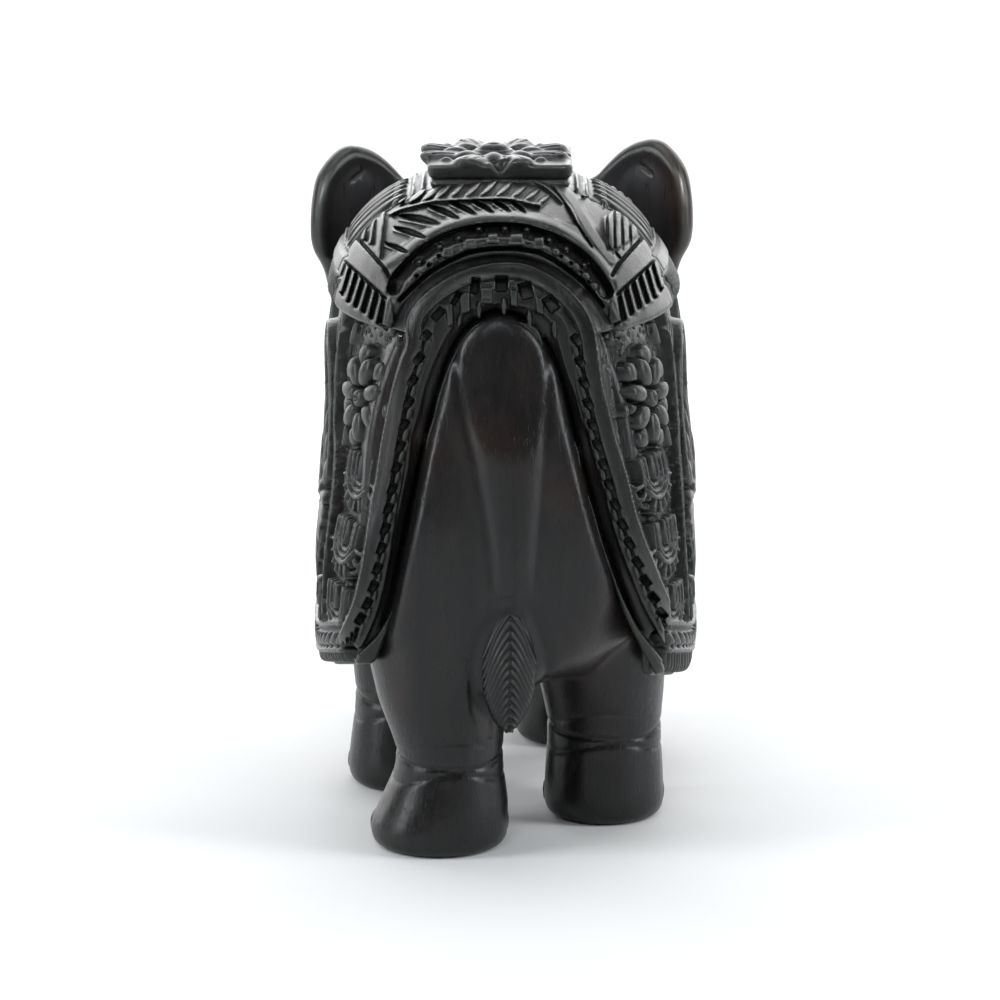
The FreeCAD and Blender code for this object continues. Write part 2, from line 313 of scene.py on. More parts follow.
def build(box, h, base, detail=None, ratio=4, band=2.4, crisp=None):
    """Surface of base+detail inside a box.  base(G) is read on a coarse grid and made smooth, detail(P, F) on points
    near the surface.
    crisp is not used."""
    lo, hi = np.array(box[0], float), np.array(box[1], float)
    H = h * ratio
    nc = np.ceil((hi - lo) / H).astype(int) + 1
    ax = [(lo[k] + np.arange(nc[k]) * H).astype(f4) for k in range(3)]
    G = (ax[0][:, None, None], ax[1][None, :, None], ax[2][None, None, :])
    C = np.broadcast_to(base(G, H), tuple(nc)).astype(f4)
    nf = (nc - 1) * ratio + 1
    A = [cubic_rows(nf[k], nc[k], ratio) for k in range(3)]
    F = np.tensordot(C, A[2].T, 1)
    F = np.einsum("xyz->xzy", F)
    F = np.tensordot(np.ascontiguousarray(F), A[1].T, 1)          # x z y
    F = np.tensordot(A[0], F, 1)                                  # X z y
    F = np.ascontiguousarray(np.swapaxes(F, 1, 2)).astype(f4)     # X Y Z
    if detail is not None:
        flat = F.reshape(-1)
        idx = np.flatnonzero(np.abs(flat) < band)
        iz = idx % nf[2]
        iy = (idx // nf[2]) % nf[1]
        ix = idx // (nf[2] * nf[1])
        x = (lo[0] + ix * h).astype(f4)
        y = (lo[1] + iy * h).astype(f4)
        z = (lo[2] + iz * h).astype(f4)
        flat[idx] = detail(x, y, z, flat[idx])
        del idx, ix, iy, iz, x, y, z
    # closed at the box walls
    for k in range(3):
        for e in (0, -1):
            s = [slice(None)] * 3
            s[k] = e
            F[tuple(s)] = np.maximum(F[tuple(s)], 0.01)
    return nets(F, lo, h)


def nets(F, lo, h):
    nx, ny, nz = F.shape
    S = F < 0
    c = np.zeros((nx - 1, ny - 1, nz - 1), np.uint8)
    for i in (0, 1):
        for j in (0, 1):
            for k in (0, 1):
                c += S[i:nx - 1 + i, j:ny - 1 + j, k:nz - 1 + k]
    act = np.flatnonzero(((c > 0) & (c < 8)).reshape(-1))
    del c
    cz = act % (nz - 1)
    cy = (act // (nz - 1)) % (ny - 1)
    cx = act // ((nz - 1) * (ny - 1))
    ids = np.full((nx - 1) * (ny - 1) * (nz - 1), -1, np.int32)
    ids[act] = np.arange(len(act), dtype=np.int32)
    flat = F.reshape(-1)
    base = (cx * ny + cy) * nz + cz
    off = {(i, j, k): (i * ny + j) * nz + k for i in (0, 1) for j in (0, 1) for k in (0, 1)}
    val = {o: flat[base + off[o]] for o in off}
    P = np.zeros((len(act), 3), f4)
    N = np.zeros(len(act), f4)
    edges = []
    for o in off:
        for k in range(3):
            if o[k] == 0:
                q = list(o)
                q[k] = 1
                edges.append((o, tuple(q), k))
    for a, b, k in edges:
        fa, fb = val[a], val[b]
        m = (fa < 0) != (fb < 0)
        t = np.where(m, fa / np.where(m, fa - fb, 1), 0).astype(f4)
        for ax in range(3):
            P[:, ax] += np.where(m, a[ax] + (t if ax == k else 0), 0)
        N += m
    P /= N[:, None]
    P += np.stack([cx, cy, cz], 1)
    del val
    # pull onto the surface
    for _ in range(2):
        g = np.clip(P, 0, np.array([nx, ny, nz]) - 1.001)
        i = g.astype(np.int64)
        t = (g - i).astype(f4)
        b = (i[:, 0] * ny + i[:, 1]) * nz + i[:, 2]
        v = {o: flat[b + off[o]] for o in off}
        u, w, s = t[:, 0], t[:, 1], t[:, 2]
        def mix(o0, o1, a):
            return o0 * (1 - a) + o1 * a
        x00, x10 = mix(v[0, 0, 0], v[1, 0, 0], u), mix(v[0, 1, 0], v[1, 1, 0], u)
        x01, x11 = mix(v[0, 0, 1], v[1, 0, 1], u), mix(v[0, 1, 1], v[1, 1, 1], u)
        f = mix(mix(x00, x10, w), mix(x01, x11, w), s)
        gx = mix(mix(v[1, 0, 0] - v[0, 0, 0], v[1, 1, 0] - v[0, 1, 0], w), mix(v[1, 0, 1] - v[0, 0, 1], v[1, 1, 1] - v[0, 1, 1], w), s)
        gy = mix(x10 - x00, x11 - x01, s)
        gz = mix(x01, x11, w) - mix(x00, x10, w)
        g2 = gx * gx + gy * gy + gz * gz + 1e-6
        step = np.clip(f / g2, -0.5, 0.5) * 0.7
        P -= np.clip(np.stack([gx, gy, gz], 1) * step[:, None], -0.35, 0.35)
    verts = P * h + lo.astype(f4)[None, :]
    quads = []
    cn = (nx - 1, ny - 1, nz - 1)
    for k in range(3):
        a = [slice(1, -1)] * 3
        b = [slice(1, -1)] * 3
        a[k], b[k] = slice(0, -1), slice(1, None)
        A, B = S[tuple(a)], S[tuple(b)]
        e = np.argwhere(A != B)
        flip = A[tuple(e.T)]
        p = e + 1
        p[:, k] -= 1
        u, v = (k + 1) % 3, (k + 2) % 3
        cid = []
        for du, dv in ((0, 0), (1, 0), (1, 1), (0, 1)):
            q = p.copy()
            q[:, u] -= 1 - du
            q[:, v] -= 1 - dv
            cid.append(ids[(q[:, 0] * cn[1] + q[:, 1]) * cn[2] + q[:, 2]])
        Q = np.stack(cid, 1)
        Q[~flip] = Q[~flip][:, ::-1]
        quads.append(Q)
    Q = np.concatenate(quads)
    Q = Q[(Q >= 0).all(1)]
    return verts, Q


def drop_islands(verts, quads, keep=1, least=400):
    """Only the largest connected parts stay."""
    n = len(verts)
    lab = np.arange(n)
    e = np.concatenate([quads[:, [0, 1]], quads[:, [1, 2]], quads[:, [2, 3]]])
    for _ in range(400):
        m = np.minimum(lab[e[:, 0]], lab[e[:, 1]])
        old = lab.copy()
        np.minimum.at(lab, e[:, 0], m)
        np.minimum.at(lab, e[:, 1], m)
        lab = lab[lab]
        lab = lab[lab]
        if np.array_equal(old, lab):
            break
    u, inv, cnt = np.unique(lab, return_inverse=True, return_counts=True)
    order = np.argsort(-cnt)[:keep]
    ok = np.isin(inv, order[cnt[order] >= least])
    if ok.all():
        return verts, quads
    new = np.cumsum(ok) - 1
    q = quads[ok[quads[:, 0]]]
    return verts[ok], new[q]


BOARD_R = Relief(296, 704, 120, 690, 0.42)


# =====================================================================================================
# Drawing: rear elevation
# =====================================================================================================
CREST_L = [(499, 261), (480, 264), (460, 270), (440, 281), (424, 293), (412, 306), (405, 322), (405, 345), (400, 358), (393, 380), (388, 400), (384, 420), (380, 440), (377, 460), (374, 480), (370, 500), (367, 520), (364, 540), (361, 560), (357, 580), (352, 600), (345, 618), (338, 633)]
CREST_R = [(499, 261), (515, 261), (530, 264), (545, 271), (560, 280), (575, 293), (588, 310), (596, 330), (600, 355), (603, 380), (608, 400), (613, 420), (618, 440), (624, 460), (630, 480), (637, 510), (645, 535), (655, 560), (663, 580), (672, 600), (680, 615), (688, 631)]
INNER_L = [(500, 322), (480, 326), (470, 335), (460, 350), (450, 372), (442, 395), (436, 420), (430, 440), (428, 460), (425, 480), (420, 505), (415, 530), (409, 560), (402, 590), (395, 610), (388, 625), (378, 640), (360, 657)]
INNER_R = [(500, 322), (520, 325), (535, 332), (541, 350), (548, 375), (557, 400), (565, 430), (575, 450), (580, 480), (590, 510), (600, 545), (612, 580), (622, 605), (635, 630), (648, 647), (660, 662)]


def offset(line, d):
    """The line moved sideways by d."""
    p = smooth_line(line, 4)
    t = np.gradient(p, axis=0)
    t /= np.linalg.norm(t, axis=1)[:, None]
    for _ in range(3):
        t[1:-1] = 0.25 * (t[:-2] + 2 * t[1:-1] + t[2:])
    t /= np.linalg.norm(t, axis=1)[:, None]
    return np.stack([p[:, 0] - t[:, 1] * d, p[:, 1] + t[:, 0] * d], 1)


def draw_rear(R):
    L = R.line
    # ---- lower border: the arch round the rump
    zone = CREST_L[::-1] + CREST_R[1:] + [(694, 660), (664, 672)] + INNER_R[::-1] + INNER_L[1:] + [(350, 672), (330, 662)]
    R.poly(zone, -0.55, 5, mode="set")
    for sg, crest, inner in ((-1, CREST_L, INNER_L), (1, CREST_R, INNER_R)):
        # hollowed cove against the rump
        L(offset(inner, -sg * 9.5), 19, -1.5, mode="min", smooth=False)
        L(offset(inner, -sg * 2.0), 4, 0.0, mode="max", smooth=False)
        # the row that carries the teeth, and the plain flat band outside it
        L(offset(crest, sg * 23.0), 12, -0.15, mode="set", prof="flat", edge=0.35, smooth=False)
        L(offset(crest, sg * 8.2), 19, 0.62, mode="max", prof="flat", edge=0.16, smooth=False)
        L(offset(crest, sg * 1.8), 2.6, 0.74, mode="max", smooth=False)
    # teeth, notches and drops at the top of the arch
    R.poly([(480, 287), (493, 287), (493, 304), (480, 304)], 0.45, 1.6)
    R.poly([(481, 298), (492, 298), (492, 304), (481, 304)], 0.05, 1.6)
    R.poly([(459, 293), (470, 291), (471, 312), (460, 315)], 0.45, 1.6)
    R.poly([(445, 305), (453, 301), (454, 324), (447, 329)], 0.4, 1.6)
    R.poly([(509, 288), (518, 290), (518, 308), (510, 306)], 0.4, 1.6)
    R.poly([(534, 295), (543, 299), (545, 316), (536, 313)], 0.4, 1.6)
    for x, y, w, l, an in ((501.5, 284, 13, 17, 0.0), (475, 286, 9, 17, 0.12), (456.5, 298, 6.5, 16, 0.5), (526, 291, 14, 18, -0.25), (551, 304, 13, 18, -0.6), (438, 314, 9, 15, 0.75)):
        R.wedge(x, y, w, l, an, -2.1, -0.9)
    for x0, y0, x1, y1, w in ((504, 297, 504, 316, 7.5), (479, 301, 479, 319, 6.5), (529, 309, 530, 328, 7), (554, 320, 555, 340, 7), (461, 314, 458, 328, 6)):
        R.leaf(x0, y0, x1, y1, w, -0.35, dome=0.7)
    # wedge notches along the inner edge of the flat band; each has a drop below it
    ln = [(426, 338, 0.55), (419, 361, 0.5), (413, 383, 0.42), (409, 405, 0.36), (405, 427, 0.32), (401, 449, 0.28), (397, 470, 0.26), (393, 491, 0.24), (389, 511, 0.22), (386, 531, 0.22), (382, 551, 0.22), (378, 571, 0.26), (374, 589, 0.30), (368, 606, 0.36), (361, 621, 0.45)]
    for x, y, an in ln:
        R.wedge(x - 0.5, y - 2, 8.6, 12.5, an + 0.15, -1.45, 0.0)
        R.leaf(x + 2.5, y + 1, x - 2.5, y + 16, 8.0, -0.3, dome=0.75, edge=0.4)
    rn = [(576, 342, -0.45), (580, 364, -0.35), (584, 385, -0.28), (588, 406, -0.3), (592, 427, -0.3), (597, 447, -0.3), (603, 467, -0.3), (609, 487, -0.3), (615, 507, -0.32), (622, 527, -0.36), (629, 546, -0.4), (637, 565, -0.44), (645, 583, -0.5), (653, 600, -0.55), (661, 616, -0.6)]
    for x, y, an in rn:
        R.wedge(x + 0.5, y - 2, 8.6, 12.5, an - 0.15, -1.45, 0.0)
        R.leaf(x - 2.5, y + 1, x + 2.5, y + 16, 8.0, -0.3, dome=0.75, edge=0.4)
    # hem fringe below the pointed ends
    for k in range(6):
        L([(357 - 4.4 * k, 628 + 5.0 * k), (352 - 2.6 * k, 650 + 2.0 * k), (356 - 3.0 * k, 668 + k)], 2.6, -0.9, mode="min")
        L([(664 + 4.6 * k, 622 + 5.0 * k), (668 + 3.6 * k, 648 + 2.0 * k), (666 + 4.2 * k, 674)], 2.6, -0.9, mode="min")

    # ---- saddle cloth: rear ridge, bead band, teeth
    up = [(383, 266), (400, 256), (420, 240), (440, 228), (460, 221), (480, 217), (500, 216.5), (520, 217), (540, 221), (557, 227), (580, 241), (598, 258), (612, 277)]
    band = [(394, 288), (401, 275), (420, 256), (440, 243), (460, 235), (480, 231), (500, 230), (520, 231), (540, 236), (558, 243), (578, 256), (594, 273), (606, 292)]
    teeth = [(402, 291), (412, 279), (430, 264), (448, 253), (468, 245), (490, 240.5), (505, 240), (520, 241), (545, 246), (568, 259), (586, 275), (600, 296)]
    L(band, 16, -1.6, prof="flat", edge=0.3)
    L(up, 9, 0.5, mode="max", prof="round")
    for x, y in ((459, 238), (479, 229), (505, 228.5), (527, 229.5), (549, 240), (440, 247), (566, 249), (420, 262), (584, 265)):
        R.ell(x, y, 6.5, 5.2, -1.9, 0.3)
        R.ell(x, y, 3.4, 3.2, -1.2, 0.5, dome=1.2)
    for x0, x1, y0, y1 in ((443, 452, 248, 256), (465, 475, 239, 248), (488, 498, 234, 242), (510, 523, 234, 244), (534, 544, 238, 248)):
        R.poly([(x0 - 1, y0 - 1), (x1 + 1, y0 - 1.5), (x1 + 1, y1), (x0 - 1, y1 + 0.5)], 0.45, 1.8)
        L([(x0, y1), (x1, y1)], 3.0, 0.8, mode="max")
    for i, (x, y) in enumerate(((412, 280), (424, 269), (434, 260), (556, 252), (566, 260), (576, 267), (586, 276), (594, 286))):
        R.ell(x, y, 5.4, 4.4, 0.15, 0.4, ang=(-0.75 if x < 500 else 0.75), dome=0.6)
        R.ell(x + (5 if x < 500 else -5), y - 4, 2.0, 2.2, -1.3, 0.5)
    L([(400, 300), (412, 288), (430, 272), (455, 258), (475, 251), (500, 248.5), (520, 249), (545, 255), (575, 275), (590, 290), (602, 306)], 5, -1.3, mode="min")
    R.ell(606, 287, 6, 6, -1.6, 0.3)

    # ---- feather panel on the back, behind the flower
    R.poly([(380, 262), (378, 214), (400, 186), (440, 176), (510, 176), (548, 186), (570, 208), (579, 228), (560, 222), (540, 214), (500, 210), (460, 214), (420, 232), (400, 248)], -0.45, 3, mode="set")
    for k, (x0, y0, x1, y1, w) in enumerate(((397, 204, 414, 188, 8), (408, 203, 428, 187, 8), (420, 202, 441, 186, 8), (432, 201, 452, 184, 8), (446, 200, 465, 183, 8), (462, 199, 482, 181, 8), (478, 197, 498, 180, 8), (494, 197, 513, 182, 7.5), (509, 199, 527, 185, 7), (523, 201, 540, 189, 6.5), (536, 205, 550, 195, 6))):
        R.leaf(x0, y0, x1, y1, w, -0.25, dome=0.85, vein=0.25)
    for x0, y0, x1, y1, w in ((399, 215, 441, 224, 9), (428, 205, 460, 219, 7.5), (450, 201.5, 477, 215, 7), (473, 201, 494, 213, 6.5), (493, 201, 511, 212, 6), (511, 202, 526, 213, 6), (394, 227, 427, 238, 7), (385, 243, 409, 253, 6)):
        R.leaf(x0, y0, x1, y1, w, -1.35, dome=-0.4, edge=0.5)
        L([(x0, y0 + w * 0.55), (x1, y1 + w * 0.45)], 2.6, 0.25, mode="max")
    L([(390, 214), (400, 209), (415, 205), (432, 201), (450, 199.5), (490, 198), (510, 198.5), (540, 205)], 3.6, 0.35, mode="max")
    L([(383, 213), (380, 235), (378, 256)], 6, 0.3, mode="max", prof="flat")
    L([(372, 214), (369, 236), (368, 258)], 3.4, 0.15, mode="max")
    R.poly([(346, 232), (352, 208), (372, 192), (400, 180), (440, 174), (440, 182), (404, 192), (384, 206), (378, 214), (376, 262)], -0.45, 3)
    for a in (0, 7, 14, 21):
        L([(349 + a * 1.0, 230 + a * 0.6), (356 + a * 0.9, 212 + a * 0.3), (378 + a * 0.45, 196 + a * 0.25), (402 + a * 0.3, 185 + a * 0.3), (440, 176.5 + a * 0.2)], 4.2, 0.3, mode="max")
    L([(504, 176), (523, 177), (543, 185), (560, 199), (571, 209), (578, 225)], 3.2, 0.35, mode="max")
    L([(553, 177), (573, 200), (585, 222), (600, 245), (612, 260)], 10.5, 0.25, mode="set", prof="flat", edge=0.3)
    L([(546, 180), (566, 205), (578, 226), (592, 247)], 2.2, -0.9, mode="min")
    L([(561, 177), (580, 198), (593, 220), (608, 243), (620, 258)], 2.2, -0.9, mode="min")
    # ---- right side panel: stepped curves and the ribbed leaf
    R.poly([(562, 172), (600, 172), (624, 180), (645, 194), (658, 216), (656, 226), (612, 256), (596, 232), (580, 205)], -0.5, 3)
    L([(566, 174), (600, 174), (620, 182), (640, 195), (652, 215)], 4.0, 0.35, mode="max")
    L([(582, 178.5), (605, 180.5), (620, 190), (628, 199)], 3.0, 0.2, mode="max")
    L([(580, 184.5), (600, 187), (612, 195), (617, 204)], 3.0, 0.2, mode="max")
    L([(583, 195), (600, 197), (606, 206)], 3.0, 0.2, mode="max")
    R.ell(570, 179, 7, 3.6, -1.6, 0.4)
    R.poly([(602, 220), (610, 211), (620, 206), (632, 207), (642, 211), (650, 222), (648, 231), (630, 243), (612, 251), (605, 238)], 0.0, 2.5, smooth=True, dome=0.75, domew=10)
    for x in (607, 614.5, 622, 630, 638, 645):
        L([(x, 206), (x + 0.5, 250)], 2.4, -0.35, mode="min")


    # ---- wings: plain strip with a rounded outer end, ribbed band below it, plain corner
    for mir in (0, 1):
        def q(pts):
            return [((1000 + 3.0 - x, y - 4.0) if mir else (x, y)) for x, y in pts]
        R.poly(q([(334, 250), (345, 262), (384, 298), (396, 318), (394, 334), (376, 324), (364, 314), (346, 302), (334, 286)]), -0.9, 2.5)
        for x0, y0, x1, y1 in ((343, 262, 338, 279), (348, 266, 341, 289), (354, 271, 346, 298), (360.5, 277, 352, 304), (367, 284, 359, 310), (374, 290, 367, 316), (381, 297, 375, 321)):
            L(q([(x0, y0), (x1, y1)]), 6.0, 0.3, mode="max", w2=6.6)
        R.poly(q([(385, 299), (391, 296), (396, 322), (393, 331), (381, 325)]), 0.3, 2.0)
        R.poly(q([(346, 232), (353, 231), (382, 268), (390, 284), (386, 297), (345, 261), (339, 253), (339, 244)]), 0.35, 2.4)
        L(q([(357, 238), (370, 252), (384, 268), (391, 280)]), 3.2, -1.2, mode="min")
        L(q([(340, 257), (362, 277), (386, 299)]), 2.4, -1.3, mode="min")


# =====================================================================================================
# Side elevation: y along, z up, one board for each flank
# =====================================================================================================
def rosette(R, cx, cy, r, sx=1.0, sy=1.0, n=8, h=0.0, turn=0.0):
    R.ell(cx, cy, r * 1.16 * sx, r * 1.16 * sy, h - 0.75, 0.12)
    for ring_, n_, r0, r1, w, hh in ((0, n, 0.40, 1.08, 0.62, 0.0), (1, n, 0.30, 0.74, 0.36, 0.28)):
        for i in range(n_):
            a = turn + 2 * math.pi * (i + 0.5 * ring_) / n_
            R.leaf(cx + r0 * r * math.cos(a) * sx, cy + r0 * r * math.sin(a) * sy, cx + r1 * r * math.cos(a) * sx, cy + r1 * r * math.sin(a) * sy, w * r, h - 0.1 + hh, dome=0.55, vein=0.3, edge=0.35)
    R.ell(cx, cy, 0.40 * r * sx, 0.40 * r * sy, h - 0.9, 0.25)
    R.ell(cx, cy, 0.31 * r * sx, 0.31 * r * sy, h - 0.1, 0.3, dome=0.95)
    R.ell(cx, cy, 0.12 * r * sx, 0.12 * r * sy, h + 0.25, 0.5)


def shell(R, cx, cy, w, hgt, face=1, h=0.0):
    """Nested half-round shell that opens towards +x for face 1."""
    for k, (s, hh) in enumerate(((1.0, 0.35), (0.82, -0.55), (0.66, 0.3), (0.47, -0.6), (0.32, 0.35))):
        pts = []
        for a in np.linspace(-math.pi / 2, math.pi / 2, 13):
            pts.append((cx - face * 0.5 * w + face * w * s * math.cos(a), cy + 0.5 * hgt * s * math.sin(a)))
        R.poly(pts, h + hh, 0.32, dome=0.2 if hh > 0 else 0.0, domew=1.0)


def fat_rosette(R, cx, cy, r, n=7, sx=1.0, h=-2.0, turn=0.0):
    """Rosette of thick rounded petals in two layers round a boss."""
    R.ell(cx, cy, 1.12 * r * sx, 1.12 * r, h - 0.1, 0.1)
    for k in range(n):
        a = turn + 2 * math.pi * (k + 0.5) / n
        R.ell(cx + 0.80 * r * math.cos(a) * sx, cy + 0.80 * r * math.sin(a), 0.27 * r, 0.27 * r * sx, h + 0.5, 0.22, ang=a, dome=1.2)
    for k in range(n):
        a = turn + 2 * math.pi * k / n
        x, y = cx + 0.56 * r * math.cos(a) * sx, cy + 0.56 * r * math.sin(a)
        R.ell(x, y, 0.38 * r, 0.27 * r * sx, h - 0.15, 0.2, ang=a)
        R.ell(x, y, 0.34 * r, 0.215 * r * sx, h + 1.3, 0.22, ang=a, dome=1.2)
    R.ell(cx, cy, 0.27 * r, 0.29 * r, h - 0.2, 0.3)
    R.ell(cx, cy, 0.20 * r * sx, 0.22 * r, h + 1.3, 0.3, dome=1.2)
    R.ell(cx, cy, 0.07 * r, 0.07 * r, h + 1.6, 0.5)


def nest(R, cx, cz, r, h=-1.9, f=1):
    """Nested cups, open at the top, over a curved ladder of slanting bars."""
    for k, (q, w) in enumerate(((1.0, 1.15), (0.74, 1.05), (0.48, 1.0))):
        t = np.linspace(math.pi, 2 * math.pi, 17)
        pts = [(cx - r * q, cz + r * 0.75)] + [(cx + r * q * math.cos(a), cz + r * q * 0.95 * math.sin(a)) for a in t] + [(cx + r * q, cz + r * 0.75)]
        R.line(pts, w * 1.2, h + 1.9 - 0.25 * k, mode="max", prof="flat", edge=0.45)
    R.leaf(cx, cz - r * 0.28, cx, cz + r * 0.9, r * 0.42, h + 0.9, dome=0.9)
    for k in range(9):
        a = math.pi * (1.06 + 0.88 * k / 8.0)
        c, s_ = math.cos(a), math.sin(a)
        R.line([(cx + r * 1.20 * c, cz + r * 1.16 * s_), (cx + r * 1.62 * c + 0.25 * f, cz + r * 1.52 * s_)], 1.1, h + 1.7, mode="max", prof="flat", edge=0.45)
    t = np.linspace(math.pi * 1.02, math.pi * 1.98, 17)
    R.line([(cx + r * 1.72 * math.cos(a), cz + r * 1.64 * math.sin(a)) for a in t], 0.8, h + 1.3, mode="max")


def draw_side(R, y0, y1, seed):
    rng = np.random.default_rng(seed)
    L = R.line
    g0 = -1.9
    # ground of the panel, lowered and worked with a fine punch
    R.poly([(-27.5, 37.5), (-27.5, 99), (58, 99), (58, 30), (46, 34), (41, 37.5)], g0, 0.6)
    for _ in range(2600):
        a, b = rng.uniform(-26, 54), rng.uniform(36, 98)
        R.ell(a, b, rng.uniform(0.3, 0.55), rng.uniform(0.3, 0.55), -0.24, 0.8, mode="add")
    # frame of the front edge
    L([(-29.3, 28), (-29.3, 100)], 1.3, 0.35, mode="max", prof="flat", edge=0.5)
    L([(-27.6, 30), (-27.6, 100)], 0.9, -0.9, mode="min")
    # rear column: rosette over nested cups, bounded by a pair of curved frame lines
    for q, w, hh in ((0.0, 1.2, 0.35), (-1.9, 0.8, -0.1), (-3.4, 0.8, -0.1)):
        L([(29.5 + q, 99), (29.8 + q, 88), (30.6 + q, 78), (33.6 + q, 71), (36.2 + q, 60), (37.4 + q, 48), (38.0 + q, 37)], w, hh, mode="max", prof="flat", edge=0.5)
    fat_rosette(R, 42.2, 84.2, 9.6, n=7, sx=0.92, turn=0.35)
    for a, b in ((33.6, 94.8), (49.5, 96.0), (34.0, 75.4)):
        R.leaf(a, b - 2.2, a + 1.0, b + 2.4, 2.6, g0 + 0.5, dome=0.8)
    for cz in (70.6, 58.2, 45.8):
        nest(R, 45.6 - 0.1 * (70.6 - cz) * 0.3, cz, 4.5)
    # front column, the same
    for q, w, hh in ((0.0, 1.2, 0.35), (1.9, 0.8, -0.1), (3.4, 0.8, -0.1)):
        L([(-7.5 + q, 99), (-7.8 + q, 88), (-8.6 + q, 78), (-11.0 + q, 71), (-12.6 + q, 60), (-13.2 + q, 48), (-13.4 + q, 37)], w, hh, mode="max", prof="flat", edge=0.5)
    fat_rosette(R, -18.2, 84.2, 8.8, n=7, sx=0.95, turn=0.1)
    for cz in (70.6, 58.2, 45.8):
        nest(R, -20.2, cz, 4.2, f=-1)
    # middle field: a lotus under a scalloped arch
    cx, cz = 11.0, 64.0
    for k in range(2):
        rr = 16.8 - 2.8 * k
        pts = [(cx + rr * math.cos(a) * 0.92, cz + 2 + (rr + 10) * math.sin(a)) for a in np.linspace(0, math.pi, 25)]
        L(pts, 1.5 - 0.3 * k, 0.2 - 0.2 * k, mode="max", prof="flat", edge=0.5)
    for i in range(15):
        a = math.pi * (i + 0.5) / 15
        R.ell(cx + 15.2 * math.cos(a) * 0.92, cz + 2 + 25.2 * math.sin(a), 0.85, 0.85, -0.6, 0.5, dome=0.8)
    for i in range(11):
        a = math.pi * (i / 10.0)
        R.leaf(cx + 2.6 * math.cos(a), cz - 4 + 2.6 * math.sin(a), cx + 11.6 * math.cos(a), cz - 4 + 21.0 * abs(math.sin(a)) ** 0.8, 5.0, -1.2, dome=1.6, vein=0.5)
    for i in range(7):
        a = math.pi * (i + 0.5) / 7
        R.leaf(cx + 1.6 * math.cos(a), cz - 4 + 1.6 * math.sin(a), cx + 6.8 * math.cos(a), cz - 4 + 12.0 * math.sin(a), 3.8, -0.4, dome=1.1, vein=0.4)
    R.ell(cx, cz - 4, 3.4, 3.4, -1.6, 0.3)
    R.ell(cx, cz - 4, 2.7, 2.7, -1.0, 0.35, dome=1.0)
    for i in range(11):
        a = math.pi * (1.04 + 0.92 * i / 10.0)
        R.leaf(cx + 3.4 * math.cos(a), cz - 5 + 3.4 * math.sin(a), cx + 14.0 * math.cos(a), cz - 5 + 16.5 * math.sin(a), 4.4, -1.2, dome=1.6, vein=0.5)
    for sgn in (-1, 1):
        pts = [(cx + sgn * (16.4 + 3.4 * math.cos(t) * (1 - t / 9)), 43.5 + 4.0 * math.sin(t) * (1 - t / 9)) for t in np.linspace(-1.2, 6.2, 26)]
        L(pts, 1.5, 0.1, mode="max", w2=1.0)
        for k in range(4):
            R.leaf(cx + sgn * (17.0 + 0.6 * k), 90.5 + 2.0 * k - 2, cx + sgn * (12.0 + 1.0 * k), 95.5 + 1.2 * k, 2.0, -1.3, dome=1.1)
    # lower border: bead line, leaf frieze, fringe; it rises towards the rear corner
    def up(a):
        return 0.125 * (a - 26.0 + math.sqrt((a - 26.0) ** 2 + 9.0)) - 0.02
    xs = np.linspace(-30.5, 54, 60)
    R.poly([(a, 27.0) for a in xs] + [(a, 37.6 + up(a)) for a in xs[::-1]], -0.5, 0.4)
    L([(a, 37.4 + up(a)) for a in xs[::3]], 1.3, 0.15, mode="max")
    L([(a, 36.1 + up(a)) for a in xs[::3]], 1.0, -0.8, mode="min")
    a = -29.2
    while a < 52:
        R.leaf(a - 1.9, 33.0 + up(a), a + 1.9, 36.0 + up(a), 2.3, -0.55, dome=0.8)
        R.ell(a + 1.9, 33.1 + up(a), 0.9, 0.9, -1.25, 0.5)
        a += 3.7
    L([(a, 32.2 + up(a)) for a in xs[::3]], 1.0, 0.05, mode="max")
    a = -30.0
    while a < 52:
        L([(a, 31.4 + up(a)), (a, 27.0 + up(a) * 0.8)], 0.8, -1.3, mode="min", smooth=False)
        a += 1.5


def draw_top(R):
    """Cloth over the back beside the flower plate, seen from above: y along, distance from the spine across."""
    L = R.line
    R.poly([(-24, 3), (-24, 31.5), (24, 31.5), (24, 3)], -0.5, 0.8)
    for q, w, hh in ((14.6, 1.0, 0.3), (16.4, 0.8, 0.1), (29.6, 1.0, 0.3)):
        L([(-26, q), (26, q)], w, hh, mode="max")
    a = -24.0
    while a < 26:
        R.leaf(a, 17.6, a, 29.0, 4.6, -0.35, dome=0.9, vein=0.35)
        R.leaf(a + 2.6, 22.0, a + 2.6, 28.8, 2.2, -0.5, dome=0.6)
        R.ell(a + 2.6, 19.6, 0.9, 0.9, -0.3, 0.4, dome=0.6)
        a += 5.2
    for a in np.arange(-24, 26, 2.0):
        R.ell(a, 31.6, 0.7, 0.7, -0.2, 0.5, dome=0.6)


# =====================================================================================================
# Body parts
# =====================================================================================================
LEGS = {
    "rear_left": dict(foot=(11.4, 45.4), ankle=(9.4, 45.6), hip=(12.6, 42.0), rf=(12.9, 12.9), ra=(10.0, 11.2), rh=(13.4, 15.0)),
    "rear_right": dict(foot=(-19.9, 24.4), ankle=(-19.9, 24.4), hip=(-18.6, 28.0), rf=(11.5, 12.2), ra=(10.9, 11.2), rh=(12.6, 15.0)),
    "fore_left": dict(foot=(18.3, 2.0), ankle=(18.3, 1.4), hip=(17.6, -6.0), rf=(11.4, 12.0), ra=(10.0, 10.6), rh=(12.0, 13.0)),
    "fore_right": dict(foot=(-14.6, -31.0), ankle=(-14.8, -30.4), hip=(-17.0, -22.0), rf=(11.6, 12.0), ra=(10.0, 10.6), rh=(12.0, 13.0)),
}
ANKLE_Z, HIP_Z = 17.0, 46.0


